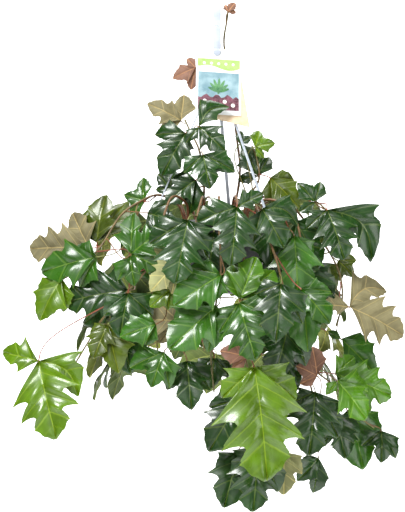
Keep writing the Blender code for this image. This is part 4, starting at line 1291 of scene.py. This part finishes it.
def printed(name, corners, front, outline, material, proud):
    """A flat printed patch on the card's face, from an outline of (across, down) shares."""
    ring = [card_inside(corners, u, v) for u, v in outline]
    count = len(ring)
    points = [card_point(x, z, depth) for depth in (front - proud, front + PRINT_SINK) for x, z in ring]
    faces = [tuple(range(count)), tuple(range(2 * count - 1, count - 1, -1))]
    faces += [(b, a, a + count, b + count) for a, b in zip(range(count), [*range(1, count), 0])]
    return new_piece(name, points, faces, material, PRINT_SHARP)


def oval(u, v, wide, high, turn=0.0, points=12):
    """An oval's outline on the card, turned about its middle at (u, v)."""
    found = []
    for index in range(points):
        angle = 2 * math.pi * index / points
        x, y = wide * math.cos(angle), high * math.sin(angle)
        down = x * math.sin(turn) + y * math.cos(turn)
        found.append((u + x * math.cos(turn) - y * math.sin(turn), v + down * CARD_ASPECT))
    return found


def print_patches():
    """(name, outline, look, height) of the front card's band, picture and dots."""
    band = [(0.03, 0.16), (0.97, 0.155), (0.97, 0.28)]
    band += [(0.97 - 0.94 * step / 16, 0.29 + 0.035 * math.sin(step / 16 * 6.28)) for step in range(1, 16)]
    band.append((0.03, 0.28))
    picture = [(0.05, 0.36), (0.95, 0.36), (0.95, 0.93), (0.05, 0.93)]
    bed = [(0.05, 0.93), (0.05, 0.74)]
    bed += [(0.05 + 0.9 * step / 14, 0.72 + 0.03 * math.sin(step * 1.7)) for step in range(1, 14)]
    bed += [(0.95, 0.75), (0.95, 0.93)]
    patches = [("lime_band", band, "lime_print", 0.1), ("picture", picture, "blue_print", 0.1),
               ("bed", bed, "plum_print", 0.14)]
    for number, (turn, long) in enumerate(FRONDS):
        u = 0.5 + math.sin(turn) * 0.13
        v = 0.66 - math.cos(turn) * 0.09
        outline = oval(u, v, 0.035, long, turn, 14)
        patches.append((f"frond{number}", outline, "green_print", 0.18 + 0.01 * number))
    for number, (u, v) in enumerate(BLOOMS):
        patches.append((f"bloom{number}", oval(u, v, 0.045, 0.045), "pale_print", 0.2))
    for number in range(5):
        patches.append((f"dot{number}", oval(0.18 + 0.16 * number, 0.225, 0.032, 0.032), "card", 0.16))
    return patches


def build_label_card(looks):
    front = CARD_BACK - CARD_GAP - CARD_THICK
    card = build_card("label_card_fine", FRONT_CARD, front, looks["card"])
    join(card, [printed(name, FRONT_CARD, front, outline, looks[look], proud)
                for name, outline, look, proud in print_patches()])
    return card


# The plant
def back_choices(name, number, route, draw):
    """The places tried in turn for one leaf of a stem round the back."""
    share = number / (BACK_LEAVES - 1) * (len(route) - 4)
    low = min(int(share), len(route) - 5)
    point = route[3 + low].lerp(route[4 + low], share - low)
    azimuth = BACK_AZIMUTHS[name] + draw.uniform(-BACK_FAN, BACK_FAN)
    outward = round_about(azimuth, 1, 0)
    choices = []
    for _ in range(BACK_TRIES):
        reach = draw.uniform(*BACK_LEAF_REACH)
        swing = draw.uniform(-BACK_SWING, BACK_SWING)
        turn = draw.uniform(-BACK_TURN, BACK_TURN)
        choices.append(back_leaf(point, outward, reach, swing, turn, number))
    return choices


def hard_obstacles():
    """The hanger, cards, pot and soil, as the solids have them."""
    found = Obstacles()
    for name, made in frame["nodes"].items():
        if name in VINES or name in BACK_AZIMUTHS:
            continue
        points = [vertex.co / METRES for vertex in made.data.vertices]
        found.add(points, [tuple(face.vertices) for face in made.data.polygons], name)
    return found


def build_plant(looks):
    """Every leafy stem, with the leaves that the same rule as the solids' finds room for."""
    routes = all_routes()
    obstacles = hard_obstacles()
    sheaves = {}
    for name, route in routes.items():
        radii = [VINE_RADIUS * (1 - VINE_TAPER * index / (len(route) - 1)) for index in range(len(route))]
        obstacles.add(*tube_faces(rings_along(route, radii, VINE_SIDES)), name)
        sheaves[name] = Sheaf()
        dress_vine(sheaves[name], route)

    def place(vine, choices, tone, seed):
        found = settle(choices, vine, routes[vine], obstacles)
        if found:
            dress_leaf(sheaves[vine], *found, tone, seed)

    for seed, (vine, hub, near, tips, size, tone) in enumerate(LEAVES):
        place(vine, (photo_leaf(hub, near + push, tips, size, seed) for push in PUSHES), tone, seed)
    draw = random.Random(BACK_SEED)
    for name, azimuth in BACK_AZIMUTHS.items():
        for number in range(BACK_LEAVES):
            tone = BACK_TONES[(number + azimuth) % len(BACK_TONES)]
            place(name, back_choices(name, number, routes[name], draw), tone, azimuth * 10 + number)
    materials = [looks["leaf_upper"], looks["leaf_under"], looks["stalk"]]
    return [(sheaf.build(name + "_fine", materials), name) for name, sheaf in sheaves.items()]


# Plain materials: name, darkest and lightest colour, size of the mottling, roughness, size and strength of
# the bumps
PRINT = (0.3, 900, 0.03)
PLAIN_LOOKS = {
    "pot": ("pot_plastic", (0.012, 0.013, 0.014), (0.02, 0.021, 0.023), 25, 0.4, 600, 0.2),
    "soil": ("soil_crumb", (0.018, 0.011, 0.007), (0.075, 0.05, 0.032), 260, 0.92, 500, 1.0),
    "card": ("card_white", (0.68, 0.70, 0.69), (0.74, 0.76, 0.75), 30, 0.3, 900, 0.05),
    "tan_card": ("card_tan", (0.56, 0.42, 0.26), (0.66, 0.52, 0.36), 120, 0.7, 800, 0.2),
    "lime_print": ("print_lime", (0.26, 0.52, 0.10), (0.34, 0.60, 0.16), 60, *PRINT),
    "blue_print": ("print_blue", (0.13, 0.24, 0.28), (0.30, 0.42, 0.46), 45, *PRINT),
    "plum_print": ("print_plum", (0.07, 0.025, 0.035), (0.20, 0.07, 0.10), 150, *PRINT),
    "green_print": ("print_green", (0.03, 0.12, 0.05), (0.10, 0.25, 0.10), 90, *PRINT),
    "pale_print": ("print_pale", (0.70, 0.66, 0.60), (0.84, 0.80, 0.76), 90, *PRINT),
}


def build_looks():
    found = {key: mottled(*values) for key, values in PLAIN_LOOKS.items()}
    found["plastic"] = mottled("hanger_plastic", (0.42, 0.47, 0.55), (0.55, 0.60, 0.67), 40, 0.32, 300, 0.08,
                               Transmission_Weight=0.15, IOR=1.45)
    found["stalk"] = stalk_material()
    for name in LEAF_FACES:
        found[name] = leaf_material(name)
    return found


# Studio, in metres: the cove's floor, back wall, near edge, half width, bend and top, then four lights, each
# with its place, width and height, and power
FLOOR, BACK_WALL, NEAR_EDGE, HALF_WIDE, BEND, WALL_TOP = -1.05, 1.5, -2.4, 3.2, 0.6, 2.6
COVE_GLOW = 0.75
WORLD_GLOW = 0.1
WHITE = (1.0, 1.0, 1.0, 1.0)
LIGHTS = {
    "key": ((-0.9, -1.5, 1.1), (0.8, 0.6), 62),
    "fill": ((1.5, -1.3, 0.3), (0.9, 1.2), 14),
    "top": ((0.1, -0.2, 1.5), (1.2, 1.0), 34),
    "front": ((0.1, -2.3, 0.1), (1.2, 1.2), 8),
}


def build_cove():
    """A white floor that sweeps up into a white wall."""
    line = [(NEAR_EDGE, FLOOR), (BACK_WALL - BEND, FLOOR)]
    line += [(BACK_WALL - BEND + BEND * sine, FLOOR + BEND - BEND * cosine)
             for sine, cosine in quarter_turn(12, 1)]
    line.append((BACK_WALL, WALL_TOP))
    points = [(x, y, z) for y, z in line for x in (-HALF_WIDE, HALF_WIDE)]
    faces = [(2 * i, 2 * i + 1, 2 * i + 3, 2 * i + 2) for i in range(len(line) - 1)]
    mesh = bpy.data.meshes.new("cove")
    mesh.from_pydata(points, [], faces)
    mesh.shade_smooth()
    nodes = Nodes("cove_white")
    mesh.materials.append(nodes.finish(Base_Color=(0.9, 0.9, 0.9, 1.0), Roughness=0.9,
                                       Emission_Color=WHITE, Emission_Strength=COVE_GLOW))
    add_object("cove", mesh)


def build_studio():
    build_cove()
    middle = Vector((0, 0, EYE_HEIGHT * METRES))
    for name, (place, (wide, high), power) in LIGHTS.items():
        lamp = bpy.data.lights.new(name, "AREA")
        lamp.shape = "RECTANGLE"
        lamp.size = wide
        lamp.size_y = high
        lamp.energy = power
        made = add_object(name, lamp)
        made.location = place
        made.rotation_euler = (middle - Vector(place)).to_track_quat("-Z", "Y").to_euler()
    world = bpy.data.worlds.new("studio")
    world.use_nodes = True
    background = world.node_tree.nodes["Background"]
    background.inputs["Color"].default_value = WHITE
    background.inputs["Strength"].default_value = WORLD_GLOW
    bpy.context.scene.world = world
    bpy.context.scene.view_settings.view_transform = "Standard"
    bpy.context.scene.view_settings.look = "None"


# The camera looks level at the photograph's eye height, and its shift keeps the pot's axis at its pixel
PICTURE = (405, 512)
SENSOR = 24


def build_camera():
    lens = bpy.data.cameras.new("camera")
    lens.sensor_fit = "VERTICAL"
    lens.sensor_height = SENSOR
    lens.lens = SENSOR * EYE_DISTANCE / (PICTURE[1] * PIXEL)
    lens.shift_x = (PICTURE[0] / 2 - AXIS_PIXEL) / PICTURE[1]
    lens.shift_y = (EYE_PIXEL - PICTURE[1] / 2) / PICTURE[1]
    camera = add_object("camera", lens)
    camera.location = Vector((0, -EYE_DISTANCE, EYE_HEIGHT)) * METRES
    camera.rotation_euler = (math.pi / 2, 0, 0)
    bpy.context.scene.camera = camera


for old in list(bpy.data.objects):
    bpy.data.objects.remove(old)
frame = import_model()
build_camera()
build_studio()
looks = build_looks()
pieces = [(build_hook(looks["plastic"]), "hook")]
for strap, azimuth in STRAP_AZIMUTHS.items():
    pieces.append((build_strap(strap, azimuth, looks["plastic"]), strap))
pieces.append((build_pot(looks["pot"]), "pot"))
pieces.append((build_soil(looks["soil"]), "soil"))
backing = build_card("label_backing_fine", BACK_CARD, CARD_BACK, looks["tan_card"])
pieces += [(build_label_card(looks), "label_card"), (backing, "label_backing")]
pieces += build_plant(looks)
for piece, node in pieces:
    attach(piece, "root")
    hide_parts(node)
bpy.context.view_layer.update()
